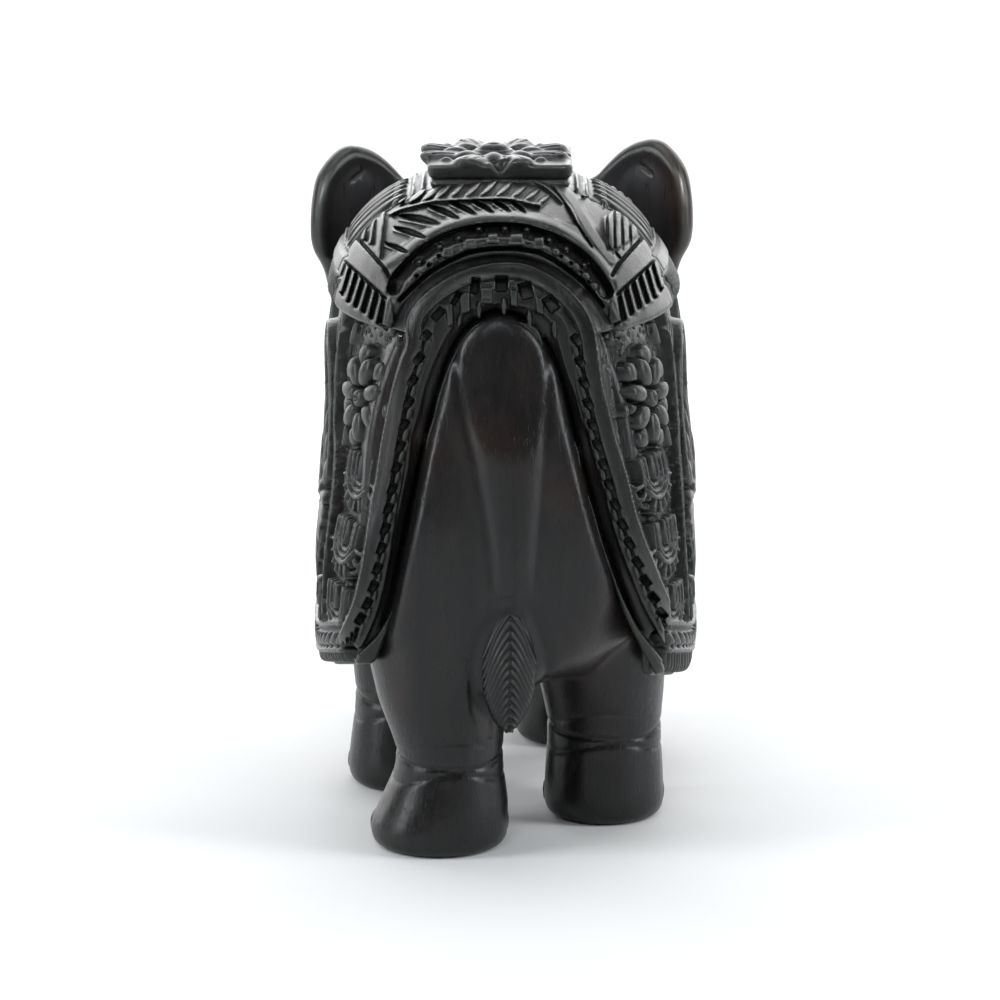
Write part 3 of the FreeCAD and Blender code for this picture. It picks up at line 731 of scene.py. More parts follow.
def leg_field(G, H, d):
    zs = [-1.0, 0.0, 1.2, 3.4, 8.0, ANKLE_Z, 29.0, HIP_Z, 62.0]
    f, a, hp, rf, ra, rh = d["foot"], d["ankle"], d["hip"], d["rf"], d["ra"], d["rh"]
    cx = Curve(zs, [f[0]] * 4 + [0.55 * f[0] + 0.45 * a[0], a[0], 0.5 * (a[0] + hp[0]), hp[0], hp[0]])
    cy = Curve(zs, [f[1]] * 4 + [0.55 * f[1] + 0.45 * a[1], a[1], 0.5 * (a[1] + hp[1]), hp[1], hp[1]])
    def r(k):
        return Curve(zs, [rf[k] - 1.2, rf[k] - 0.8, rf[k] - 0.2, rf[k], rf[k] * 0.70 + ra[k] * 0.30, ra[k], 0.5 * (ra[k] + rh[k]) + 0.4, rh[k], rh[k] * 0.92])
    rx, ry = r(0), r(1)
    Z = G[2]
    q = np.sqrt(((G[0] - cx(Z)) / rx(Z)) ** 2 + ((G[1] - cy(Z)) / ry(Z)) ** 2)
    return norm((q - 1.0) * 11.0, H)


TORSO = np.array([
    (-36.0, 13.0, 52.0, 100.0, 2.1), (-30.0, 22.0, 42.0, 108.0, 2.2), (-18.0, 26.5, 36.0, 112.0, 2.3), (0.0, 28.5, 33.0, 114.5, 2.35),
    (20.0, 28.5, 33.0, 114.5, 2.35), (38.0, 26.0, 32.0, 112.0, 2.35), (50.0, 23.5, 31.0, 108.0, 2.3), (56.0, 20.0, 32.0, 103.5, 2.25),
    (59.2, 13.8, 36.0, 98.0, 2.15), (60.6, 7.0, 46.0, 88.0, 2.0)])


def torso_field(G, H):
    T = TORSO
    a, z0, z1, n = (Curve(T[:, 0], T[:, k]) for k in (1, 2, 3, 4))
    Y = G[1]
    zc, b = 0.5 * (z0(Y) + z1(Y)), 0.5 * (z1(Y) - z0(Y))
    q = ((np.abs(G[0]) / a(Y)) ** n(Y) + (np.abs(G[2] - zc) / b) ** n(Y)) ** (1.0 / n(Y))
    f = norm((q - 1.0) * a(Y), H)
    return smax(smax(f, Y - 60.6, 7.0), -36.0 - Y, 4.0)


TAIL = np.array([(110.0, 0.0, 42.0, 8.0, 3.4), (103.0, 0.0, 46.0, 8.0, 3.4), (97.0, -0.2, 50.4, 8.0, 3.3), (90.0, -0.6, 54.6, 7.6, 3.2), (83.0, -1.1, 58.2, 6.8, 3.1), (76.0, -1.8, 60.2, 5.6, 3.0), (60.0, -2.5, 60.3, 3.7, 2.9), (46.0, -2.5, 59.0, 2.9, 2.7), (36.0, -2.2, 58.4, 2.6, 2.5)])[::-1]


def tail_field(G, H):
    T = TAIL
    cx, cy, rx, ry = (Curve(T[:, 0], T[:, k]) for k in (1, 2, 3, 4))
    Z = G[2]
    q = np.sqrt(((G[0] - cx(Z)) / rx(Z)) ** 2 + ((G[1] - cy(Z) + 1.6) / ry(Z)) ** 2)
    f = norm((q - 1.0) * 3.0, H)
    return smax(smax(f, Z - 106.0, 2.0), 34.0 - Z, 1.0)


def tuft_field(G, H):
    zs = np.array([23.6, 25.0, 28.0, 33.0, 38.0, 43.0, 46.5, 49.0])
    hw = Curve(zs, [0.4, 2.2, 4.0, 5.5, 5.7, 4.6, 3.2, 1.8])
    dp = Curve(zs, [0.6, 1.9, 3.0, 3.9, 4.1, 3.6, 2.9, 1.8])
    cx = Curve(zs, [-1.2, -1.3, -1.4, -1.6, -1.7, -1.8, -2.0, -2.2])
    cy = Curve(zs, [57.0, 57.4, 58.0, 58.6, 58.9, 59.0, 58.9, 58.6])
    Z = G[2]
    q = np.sqrt(((G[0] - cx(Z)) / hw(Z)) ** 2 + ((G[1] - cy(Z)) / dp(Z)) ** 2)
    f = norm((q - 1.0) * 3.5, H)
    return smax(smax(f, Z - 49.5, 2.0), 23.6 - Z, 1.0)


def hide_base(G, H):
    f = torso_field(G, H)
    for k, d in LEGS.items():
        f = smin(f, smax(leg_field(G, H, d), G[2] - 62.0, 4.0), 6.0)
    # haunches over the hind legs
    f = smin(f, ellipsoid(G, (11.5, 45.5, 62.0), (13.0, 14.0, 30.0)), 5.0)
    f = smin(f, ellipsoid(G, (-12.5, 44.0, 62.0), (13.0, 14.5, 30.0)), 5.0)
    # the rump stands inside the arch of the blanket
    arch = arch2d(ARCH_POLY, G)
    f = smax(f, arch - 0.3 - 300.0 * np.maximum(sstep(52.0, 46.0, G[1]), sstep(38.0, 31.0, G[2])), 1.5)
    plug = smax(arch - 0.9, G[1] - (57.6 - 0.012 * G[0] ** 2 - 0.0022 * np.maximum(G[2] - 72.0, 0) ** 2), 1.4)
    plug = smax(smax(plug, 30.0 - G[1], 2.0), 38.0 - G[2], 9.0)
    f = smin(f, plug, 3.0)
    f = smin(f, tail_field(G, H), 4.0)
    return smax(f, -G[2], 0.8)


def tuft_base(G, H):
    return tuft_field(G, H)


HAIR = Relief(-10, 7, 20, 52, 0.06)


def draw_hair(R):
    # hair of the tuft: strands that part from a middle line
    for k in range(16):
        z = 49.5 - 1.75 * k
        for s in (-1, 1):
            R.line([(-1.9, z + 1.0), (-1.9 + s * 1.4, z - 0.9), (-1.9 + s * 3.2, z - 4.4 - 0.1 * k), (-1.9 + s * 6.2, z - 12.0 - 0.2 * k)], 1.05, -0.75, mode="min", w2=0.8)
            R.line([(-1.9 + s * 0.7, z - 0.6), (-1.9 + s * 2.4, z - 3.6 - 0.1 * k), (-1.9 + s * 4.8, z - 9.6 - 0.2 * k)], 0.5, -0.25, mode="min", w2=0.4)
    R.line([(-1.95, 50), (-1.8, 34), (-1.3, 24)], 0.8, -0.5, mode="min")


def tuft_detail(x, y, z, F):
    return F - HAIR.at(x, z) * sstep(54.6, 56.0, y)


def nails(x, y, z, F, d, n=5, r0=0.0, spread=0.62):
    """Toenails round the front of a foot."""
    f, rf = d["foot"], d["rf"]
    dx, dy = (x - f[0]) / rf[0], (y - f[1]) / rf[1]
    ang = np.arctan2(dx, -dy)
    r = np.sqrt(dx * dx + dy * dy)
    near = (r < 1.35) & (z < 9)
    for i in range(n):
        a = (i - (n - 1) / 2) * spread
        da = (ang - a) * rf[0]
        zz = z - 2.9
        e = np.sqrt((da / 2.35) ** 2 + (zz / 3.0) ** 2)
        m = sstep(1.0, 0.72, e) * near
        F = F - 0.55 * m
        g = np.exp(-((e - 1.12) / 0.13) ** 2) * near
        F = F + 0.38 * g
    return F


def hide_detail(x, y, z, F):
    # the tuft lies in a shallow bed
    e = np.hypot((x + 1.7) / 7.4, (z - 36.0) / 14.5)
    F = F + 0.5 * np.exp(-((e - 0.93) / 0.14) ** 2) * (y > 52) * (z > 22) * (z < 51)
    for k, d in LEGS.items():
        F = nails(x, y, z, F, d)
        f, ra = d["ankle"], d["ra"]
        dx, dy = (x - f[0]) / ra[0], (y - f[1]) / ra[1]
        near = (np.sqrt(dx * dx + dy * dy) < 1.4)
        ang = np.arctan2(dx, dy)
        for zc, amp, w, a0, a1 in ((17.5, 0.42, 0.5, -2.6, 2.4), (14.6, 0.3, 0.42, -1.9, 1.7), (20.8, 0.22, 0.45, -1.0, 1.5)):
            line_ = zc + 1.0 * np.sin(ang * 2.0 + zc) + 0.5 * np.cos(ang * 3)
            m = sstep(a0 - 0.3, a0 + 0.5, ang) * sstep(a1 + 0.3, a1 - 0.5, ang) * near
            F = F + amp * np.exp(-((z - line_) / w) ** 2) * m
    # soft grooves beside the tail
    for s, w in ((1, 0.4), (-1, 0.35)):
        rx = np.interp(z, TAIL[:, 0], TAIL[:, 3])
        cx = np.interp(z, TAIL[:, 0], TAIL[:, 1])
        t = np.abs((x - cx) * s - rx - 0.5)
        F = F + w * np.exp(-(t / 0.9) ** 2) * (y > 54) * sstep(50, 56, z) * sstep(100, 92, z)
    # ridge down the tail
    F = F - 0.18 * np.exp(-((x - np.interp(z, TAIL[:, 0], TAIL[:, 1]) + 0.4) / 0.7) ** 2) * (y > 56) * (z > 48) * sstep(92, 80, z)
    return F


# =====================================================================================================
# Blanket and saddle cloth
# =====================================================================================================
BY = [-32.0, -24.0, -12.0, 0.0, 12.0, 24.0, 34.0, 40.0, 46.0, 51.0, 54.5, 57.0, 60.0]
B_UP = Curve(BY, [28.0, 31.5, 33.6, 34.6, 34.2, 32.6, 30.2, 28.0, 25.0, 22.6, 20.8, 19.4, 17.5])        # half width at z 85
B_LO = Curve(BY, [27.5, 31.8, 34.2, 35.4, 35.5, 35.0, 33.8, 32.6, 30.8, 28.8, 26.8, 25.0, 22.0])       # half width at z 42
B_TOP = Curve(BY, [109.5, 113.5, 116.5, 118.2, 118.6, 118.4, 117.4, 116.4, 115.0, 113.0, 111.2, 109.5, 107.0])
ARCH_L = [(24.6, 20.0), (24.0, 33.0), (21.6, 40.0), (19.2, 47.0), (15.9, 62.0), (12.6, 77.5), (8.6, 92.0), (5.2, 98.6), (0.0, 101.6)]
ARCH_R = [(-29.5, 20.0), (-28.6, 33.0), (-25.6, 40.0), (-22.4, 47.0), (-17.2, 62.0), (-13.0, 77.5), (-9.2, 92.0), (-5.4, 98.6), (0.0, 101.6)]
ARCH_POLY = ARCH_L + ARCH_R[::-1][1:]
FRONT_POLY = [(23.0, 10.0), (22.5, 30.0), (21.5, 50.0), (20.0, 70.0), (17.0, 88.0), (11.0, 97.0), (0.0, 100.5), (-11.0, 97.0), (-17.0, 88.0), (-20.0, 70.0), (-21.5, 50.0), (-22.5, 30.0), (-23.0, 10.0)]


def blanket_outer(G, H, grow=0.0, lift=0.0):
    X, Y, Z = G
    X = X + 0.9 * sstep(50.0, 70.0, Z) * sstep(108.0, 96.0, Z)
    t = sstep(92.0, 40.0, Z)
    a = B_UP(Y) + (B_LO(Y) - B_UP(Y)) * t + grow
    a = np.where(X < 0, a * (1.0 + 0.062 * sstep(95.0, 45.0, Z)), a)
    zm = 84.0
    b = B_TOP(Y) + lift - zm
    n = 2.35
    q = ((np.abs(X) / a) ** n + (np.maximum(Z - zm, 0) / b) ** n) ** (1.0 / n)
    return norm((q - 1.0) * a, H)


def skin_depth(x, y, z, grow=0.0, lift=0.0):
    """The same surface, read at single points: how far each is outside it, roughly."""
    X = x + 0.9 * sstep(50.0, 70.0, z) * sstep(108.0, 96.0, z)
    a = B_UP(y) + (B_LO(y) - B_UP(y)) * sstep(92.0, 40.0, z) + grow
    a = np.where(X < 0, a * (1.0 + 0.062 * sstep(95.0, 45.0, z)), a)
    b = B_TOP(y) + lift - 84.0
    q = ((np.abs(X) / a) ** 2.35 + (np.maximum(z - 84.0, 0) / b) ** 2.35) ** (1.0 / 2.35)
    return (q - 1.0) * np.where(z > 84.0, np.minimum(a, b + 4.0), a)


def arch2d(poly, G):
    X2, Z2 = np.meshgrid(G[0][:, 0, 0], G[2][0, 0, :], indexing="ij")
    return poly_sd(smooth_line(poly, 5), X2, Z2)[:, None, :].astype(f4)


REAR_CUT = 49.5


def hem(Y, side):
    """Height of the hem: it rises towards the rear corner, more on the left."""
    t = Y - (23.0 if side > 0 else 31.0)
    return 28.4 + 0.13 * (t + np.sqrt(t * t + 9.0))


def flank_base(side):
    def base(G, H):
        o = blanket_outer(G, H)
        f = smax(o, -(o + 5.2), 0.6)
        f = smax(f, hem(G[1], side) - G[2], 0.9)
        f = smax(f, -arch2d(FRONT_POLY, G) - 200.0 * sstep(-20.0, -15.0, G[1]), 0.8)
        f = smax(f, -30.6 - G[1], 1.6)
        f = smax(f, G[1] - REAR_CUT + 0.03, 0.25)
        f = smax(f, 0.5 - side * G[0], 0.2)
        f = smax(f, G[2] - 112.0, 0.5)
        return f
    return base


def rear_base(G, H):
    o = blanket_outer(G, H)
    back = G[1] - (56.9 - 0.055 * np.maximum(80.0 - G[2], 0) - 0.0 * G[2])
    f = smax(o, back, 3.0)
    inner = -(o + 10.5)
    f = smax(f, -arch2d(ARCH_POLY, G), 1.2)
    f = smax(f, np.where(G[0] > 0, hem(G[1], 1), hem(G[1], -1)) - G[2], 1.0)
    f = smax(f, REAR_CUT + 0.03 - G[1], 0.25)
    return f


CHEST = Relief(-40, 40, 24, 112, 0.12)


def draw_chest(R):
    # front edge of the blanket: a rope between two grooves, then a run of leaves
    for s in (-1, 1):
        edge = [(s * x, z) for x, z in ((22.8, 27.0), (22.5, 34.0), (21.9, 44.0), (21.2, 56.0), (20.2, 70.0), (18.0, 84.0))]
        R.line([(x + s * 1.1, z) for x, z in edge], 0.6, -0.6, mode="min")
        R.line([(x + s * 4.0, z) for x, z in edge], 0.6, -0.6, mode="min")
        z = 29.0
        while z < 84.0:
            x = np.interp(z, [27, 34, 44, 56, 70, 84], [22.8, 22.5, 21.9, 21.2, 20.2, 18.0])
            R.leaf(s * (x + 1.5), z - 0.9, s * (x + 3.7), z + 0.9, 1.7, -0.35, dome=0.75)
            R.leaf(s * (x + 4.7), z - 1.0, s * (x + 9.2), z + 1.9, 2.0, -0.5, dome=0.8, vein=0.3)
            z += 2.25


SIDE_L = Relief(-32, 58, 26, 104, 0.09)
SIDE_R = Relief(-32, 58, 26, 104, 0.09)
INSIDE = Relief(296, 704, 120, 700, 0.42)


def flank_detail(R):
    def det(x, y, z, F):
        F = F - CHEST.at(x, z) * sstep(-29.4, -30.2, y)
        return F - R.at(y, z) * sstep(-3.6, -3.0, skin_depth(x, y, z)) * sstep(-33.0, -30.0, y)
    return det


def rear_detail(x, y, z, F):
    u, v = board(x, y, z)
    m = INSIDE.at(u, v)                     # 1 on the border, 0 on the panel outside its edge
    side = np.where(x > 0, SIDE_L.at(y, z), SIDE_R.at(y, z))
    return F - (BOARD_R.at(u, v) * m + side * (1 - m))


CLOTH_ARCH = [(22.6, 80.0), (20.6, 96.0), (18.2, 101.6), (14.5, 106.4), (8.0, 110.6), (0.0, 112.4)]


def cloth_base(part):
    def base(G, H):
        o = blanket_outer(G, H, grow=1.2, lift=3.6)
        f = smax(o, -(o + 5.0), 0.6)
        low = 98.2 + 0.0 * G[1]
        f = smax(f, low - G[2], 0.8)
        arch = CLOTH_ARCH + [(-x, z) for x, z in CLOTH_ARCH[::-1][1:]]
        f = smax(f, -arch2d(arch, G) - 200.0 * sstep(42.0, 36.0, G[1]), 0.8)
        f = smax(f, G[1] - 53.2 + 0.10 * np.maximum(112 - G[2], 0), 1.6)
        f = smax(f, -26.0 - G[1], 1.2)
        if part == "rear":
            f = smax(f, 22.03 - G[1], 0.2)
        else:
            f = smax(f, G[1] - 21.97, 0.2)
        return f
    return base


TOP = Relief(-28, 30, 0, 40, 0.1)


def cloth_detail(x, y, z, F):
    u, v = board(x, y, z)
    h = BOARD_R.at(u, v)
    # the wings: strip and ribbed band along the lower edge, on the steep sides
    side = sstep(98.0, 96.0, z) * 0
    wing = sstep(24.0, 27.0, np.abs(x)) * sstep(106.5, 105.0, z)
    seg = 98.2
    w = np.where(z < 104.2, 1.0, 0.0)
    rib = np.cos((y + (z - 98.0) * 0.9) * (2 * math.pi / 1.75))
    hw = -0.35 + 0.42 * rib * sstep(98.6, 99.4, z) * sstep(103.8, 102.9, z)
    strip = 0.25 * sstep(104.1, 104.5, z) * sstep(107.4, 107.0, z) - 0.6 * np.exp(-((z - 104.0) / 0.35) ** 2) - 0.6 * np.exp(-((z - 107.8) / 0.35) ** 2)
    hw = hw * w + strip
    # rear-facing part is read from the drawing board; the wings take over where the cloth faces sideways
    k = sstep(25.5, 27.5, np.abs(x)) * sstep(109.0, 107.5, z) * sstep(27.0, 22.0, y)
    front = sstep(24.0, 20.0, y)
    hb = h * (1 - front)
    # front part of the top: a mirrored drawing of the same feather work
    u2, v2 = board(x, 16.0 - y, z)
    hb = hb + BOARD_R.at(u2, v2) * front * sstep(-6, -8, y)
    beside = front * sstep(-9.0, -6.0, y) * sstep(108.0, 109.0, z)
    hb = hb * (1 - beside) + TOP.at(y, np.abs(x)) * beside
    return F - (hb * (1 - k) + hw * k) * sstep(-3.4, -2.8, skin_depth(x, y, z, 1.2, 3.6))


# ---- flower plate
def plate_base(G, H):
    X, Y, Z = G[0], G[1] - 8.4, G[2]
    ax, ay = np.abs(X), np.abs(Y)
    r = 12.6 + 1.3 * np.clip((Z - 118) / 7, 0, 1)
    box = np.maximum(ax, ay) - r
    ch = (ax + ay) * 0.7071 - r * 1.375
    f = smax(smax(box, ch, 1.0), np.maximum(Z - 124.6, 117.0 - Z), 0.7)
    return f


def plate_detail(x, y, z, F):
    X, Y = x, y - 8.4
    # V notches at the middle of each edge: switched off, F is left as it is
    for a in (0, 1):
        p, q = (X, Y) if a == 0 else (Y, X)
        F = np.maximum(F, -(np.abs(p) * 0.72 - 0.1 + (z - 125.0) * -0.0 - (1.6 + (z - 124.6) * 0.5)) - 99 * (np.abs(q) < 10.5)) if False else F
    r = np.hypot(X, Y)
    ang = np.arctan2(Y, X)
    top = z > 122.0
    # grooves round the sides
    side = (z < 124.0) & (z > 118.0)
    F = F + 0.45 * np.exp(-((z - 121.9) / 0.35) ** 2) * side
    F = F + 0.2 * np.exp(-((z - 119.6) / 0.3) ** 2) * side
    # drop bosses on top: nothing here, the petals are added in the base
    return F


def flower_base(G, H):
    X, Y, Z = G[0], G[1] - 8.4, G[2]
    f = plate_base(G, H)
    r = np.sqrt(X * X + Y * Y)
    # border lip round the plate, cut away in the middle
    dish = smax(r - 12.2, 123.9 - Z, 0.4)
    f = smax(f, -dish, 0.4)
    FX = X - 1.2
    r2 = np.sqrt(FX * FX + Y * Y)
    for k in range(8):
        t = math.radians(45 * k + 22.5)
        c, s = math.cos(t), math.sin(t)
        u, v = FX * c + Y * s - 10.0, -FX * s + Y * c
        p = np.sqrt((u / 5.0) ** 2 + (v / 3.7) ** 2 + ((Z - 123.9 - 0.10 * u - 0.03 * u * u) / 1.9) ** 2)
        f = smin(f, (p - 1.0) * 2.2, 0.3)
        # small inner petal, between the big ones
        t2 = t + math.radians(22.5)
        c, s = math.cos(t2), math.sin(t2)
        u, v = FX * c + Y * s - 7.2, -FX * s + Y * c
        p = np.sqrt((u / 2.9) ** 2 + (v / 1.9) ** 2 + ((Z - 124.6) / 1.5) ** 2)
        f = smin(f, (p - 1.0) * 1.7, 0.25)
        b = np.sqrt((FX - 12.6 * c) ** 2 + (Y - 12.6 * s) ** 2 + (Z - 124.3) ** 2) - 1.25
        f = smin(f, b, 0.3)
    # stepped boss
    f = smin(f, smax(r2 - 5.6, Z - 125.0, 0.5), 0.3)
    f = smin(f, smax(np.sqrt(r2 * r2 + (Z - 121.8) ** 2) - 5.18, r2 - 4.8, 0.3), 0.3)
    # V notch at the middle of each edge
    for p, q in ((X, Y), (Y, X)):
        w = np.abs(p) * 0.80 + (124.4 - Z) * 0.6 - 1.0
        f = smax(f, -smax(w, 10.8 - np.abs(q), 0.2), 0.25)
    return f


def flower_detail(x, y, z, F):
    X, Y = x - 1.2, y - 8.4
    r = np.hypot(X, Y)
    # concentric steps on the boss
    F = F + 0.32 * np.exp(-((r - 2.9) / 0.28) ** 2) * (z > 124.6)
    F = F + 0.30 * np.exp(-((r - 1.1) / 0.25) ** 2) * (z > 126.0)
    F = F + 0.35 * np.exp(-((r - 4.9) / 0.25) ** 2) * (z > 123.6)
    # a vein along each petal
    a = np.arctan2(Y, X) % (math.pi / 4) - math.pi / 8
    F = F + 0.32 * np.exp(-((a * r) / 0.28) ** 2) * ((r > 8.0) & (r < 14.2) & (z > 124.0))
    F = F + 0.24 * np.exp(-((np.abs(a * r) - 1.5) / 0.22) ** 2) * ((r > 8.8) & (r < 13.2) & (z > 124.0))
    X = x
    # side mouldings
    edge = np.maximum(np.maximum(np.abs(X), np.abs(Y)), (np.abs(X) + np.abs(Y)) * 0.7071 / 1.375)
    side = sstep(12.3, 12.8, edge) * (z > 117.8)
    F = F + 0.5 * np.exp(-((z - 121.6) / 0.4) ** 2) * side
    F = F + 0.2 * np.exp(-((z - 119.9) / 0.3) ** 2) * side
    return F


# =====================================================================================================
# Head, trunk, ears, headdress
# =====================================================================================================
TRUNK = [(0.0, -44.5, 86.0, 11.6), (0.0, -50.0, 74.0, 9.9), (0.0, -53.0, 61.0, 8.3), (0.0, -53.4, 47.0, 7.2), (0.0, -52.0, 33.0, 6.4), (0.0, -51.6, 21.0, 5.7), (0.0, -53.6, 13.0, 5.3), (0.0, -56.0, 9.6, 4.9)]
TUSK_ROOT, TUSK_DIR = (10.6, -43.5, 66.0), (0.10, -0.93, -0.30)


def head_base(G, H):
    X, Y, Z = G
    AX = (np.abs(X), Y, Z)
    f = ellipsoid(G, (0.0, -38.5, 88.0), (17.6, 15.0, 21.5))
    f = smin(f, ellipsoid(AX, (6.6, -39.5, 104.5), (8.4, 10.0, 9.6)), 4.0)
    f = smin(f, ellipsoid(AX, (8.4, -43.5, 74.5), (8.6, 9.2, 12.0)), 5.0)
    f = smin(f, ellipsoid(G, (0.0, -26.0, 82.0), (21.5, 15.0, 27.0)), 8.0)
    for a, b in zip(TRUNK[:-1], TRUNK[1:]):
        f = smin(f, capsule(G, a[:3], b[:3], a[3], b[3]), 3.0 if a[2] > 60 else 2.2)
    # lower jaw
    f = smin(f, capsule(G, (0, -40.0, 63.0), (0, -44.0, 56.5), 6.5, 3.4), 3.0)
    # cheek bosses that hold the tusks
    d = np.array(TUSK_DIR) / np.linalg.norm(TUSK_DIR)
    r = np.array(TUSK_ROOT)
    f = smin(f, capsule(AX, tuple(r - d * 9), tuple(r - d * 0.8), 5.2, 4.5), 3.0)
    # brow ridges
    f = smin(f, capsule(AX, (10.5, -47.0, 94.5), (15.6, -40.0, 93.0), 2.2, 1.8), 3.0)
    return smax(f, -Z + 3.2, 1.0)


FACE = Relief(-22, 22, 50, 120, 0.1)


def draw_face(R):
    L = R.line
    # forehead cloth: border band, rows of beads, central drop
    outer = [(-13.5, 112.0), (-13.8, 104.0), (-11.0, 97.0), (-6.5, 92.5), (-3.2, 88.0), (0.0, 83.0), (3.2, 88.0), (6.5, 92.5), (11.0, 97.0), (13.8, 104.0), (13.5, 112.0)]
    R.poly(outer + [(8.0, 118.0), (-8.0, 118.0)], 0.75, 0.5)
    L(outer, 1.5, 1.35, mode="max")
    inner = [(x * 0.80, 112.0 + (z - 112.0) * 0.80) for x, z in outer]
    L(inner, 0.8, 0.1, mode="min")
    for s in np.linspace(0.04, 0.96, 21):
        p = smooth_line(outer)
        q = p[int(s * (len(p) - 1))]
        c = (q[0] * 0.90, 112.0 + (q[1] - 112.0) * 0.90)
        R.ell(c[0], c[1], 0.85, 0.85, 0.8, 0.5, dome=0.7)
    rosette(R, 0.0, 102.0, 4.8, n=8, h=0.95)
    for s in (-1, 1):
        R.leaf(s * 4.6, 107.5, s * 9.4, 112.5, 3.0, 0.8, dome=0.7, vein=0.3)
        R.leaf(s * 4.6, 98.0, s * 9.4, 102.5, 2.6, 0.8, dome=0.7, vein=0.3)
    R.leaf(0, 95.5, 0, 86.0, 4.2, 0.8, dome=0.8, vein=0.3)
    # fringe drops along the lower edge
    for s in np.linspace(0.08, 0.92, 15):
        p = smooth_line(outer)
        q = p[int(s * (len(p) - 1))]
        R.leaf(q[0], q[1] - 0.8, q[0] * 1.04, q[1] - 4.2, 1.6, 0.1, dome=0.6)


def head_detail(x, y, z, F):
    ax = np.abs(x)
    front = sstep(-30.0, -35.0, y)
    F = F - FACE.at(x, z) * front * sstep(-36.0, -40.0, y)
    # trunk rings, stronger on the front, fading below the brow
    tz = z + 0.22 * (y + 50.0) * 0
    on = sstep(80.0, 70.0, z) * sstep(9.0, 14.0, z) * sstep(11.5, 9.0, ax) * (y < -43.0)
    arc = z + 0.045 * ax * ax
    F = F + 0.34 * (0.5 + 0.5 * np.cos(arc * (2 * math.pi / 2.9))) ** 3 * on
    # eyes: an almond with lids
    ex, ey, ez = ax - 15.0, y + 46.2, z - 88.0
    e = np.sqrt((ey / 3.6) ** 2 + ((ez + 0.10 * ey) / (1.95 - 0.12 * np.abs(ey))) ** 2)
    sidem = (ax > 9.5) & (y < -38.0)
    F = F - 0.65 * sstep(1.0, 0.5, e) * sidem
    F = F + 0.55 * np.exp(-((e - 1.16) / 0.16) ** 2) * sidem
    F = F - 0.35 * np.exp(-((e - 1.55) / 0.2) ** 2) * sidem
    F = F + 0.30 * np.exp(-((np.hypot(ey, ez) - 0.85) / 0.22) ** 2) * sidem
    for k in range(3):
        lid = ez - 3.6 - 1.3 * k + 0.11 * ey * ey
        F = F + 0.28 * np.exp(-(lid / 0.32) ** 2) * sidem * (np.abs(ey) < 4.0)
        lid = ez + 3.4 + 1.2 * k - 0.09 * ey * ey
        F = F + 0.24 * np.exp(-(lid / 0.32) ** 2) * sidem * (np.abs(ey) < 3.6)
    # mouth line
    m = np.exp(-((z - 63.5 + 0.25 * (y + 44.0)) / 0.5) ** 2) * (y > -47.0) * (y < -33.0) * sstep(3.0, 5.0, ax)
    F = F + 0.7 * m
    # nostril at the trunk's tip: switched off, F is left as it is
    F = np.maximum(F, -(np.sqrt((ax - 1.7) ** 2 + (z - 8.2) ** 2) - 1.05) - 50 * (y > -58.5)) if False else F
    return F


EAR = np.array([(0.0, 66.0), (7.0, 61.5), (13.5, 66.5), (17.4, 78.0), (20.4, 90.0), (22.2, 96.2), (24.9, 100.6), (25.6, 105.0), (25.0, 111.0), (22.8, 116.2), (16.4, 120.4), (9.5, 118.6), (4.0, 113.0), (0.0, 106.0)])
EAR_ROOT, EAR_TURN = (15.0, -37.0), math.radians(27.0)


def ear_local(x, y, side):
    sx = x * side - EAR_ROOT[0] - (0.0 if side > 0 else 0.7)
    sy = y - EAR_ROOT[1]
    c, s = math.cos(EAR_TURN), math.sin(EAR_TURN)
    return sx * c + sy * s, -sx * s + sy * c


def ear_cup(u, Z):
    return 0.008 * (u - 6.0) ** 2 - 0.9 + 0.9 * np.sin(Z * 0.12) * np.clip(u / 20, 0, 1) - 0.085 * (Z - 104.0 + np.sqrt((Z - 104.0) ** 2 + 30.0)) * sstep(0, 8, u)


def ear_base(side, dz):
    def base(G, H):
        u, w = ear_local(G[0], G[1], side)
        Z = G[2] - dz
        lineu = np.linspace(-3, 29, 200)
        zz = np.linspace(52, 128, 420)
        U, ZZ = np.meshgrid(lineu, zz, indexing="ij")
        D = poly_sd(smooth_line(EAR, 5, True), U, ZZ).astype(f4)
        iu = np.clip((u - lineu[0]) / (lineu[1] - lineu[0]), 0, 198.99)
        iz = np.clip((Z - zz[0]) / (zz[1] - zz[0]), 0, 418.99)
        i, j = np.broadcast_arrays(iu.astype(int), iz.astype(int))
        a, b = iu - iu.astype(int), iz - iz.astype(int)
        d = (D[i, j] * (1 - a) + D[i + 1, j] * a) * (1 - b) + (D[i, j + 1] * (1 - a) + D[i + 1, j + 1] * a) * b
        # the leaf cups forwards and its rim turns over
        cup = ear_cup(u, Z)
        t = 2.1 + 0.8 * np.exp(-((d + 1.6) / 1.5) ** 2) - 0.35 * sstep(0, 24, u)
        f = np.abs(w - cup) - t
        f = smax(d, f, 2.0)
        # root that ties the ear to the neck
        f = smin(f, capsule(G, (side * 12.0, -33.0, 72.0 + dz), (side * 15.0, -34.0, 104.0 + dz), 4.0, 5.0), 4.0)
        return f
    return base


EAR_MAP = Relief(-4, 30, 54, 128, 0.1)


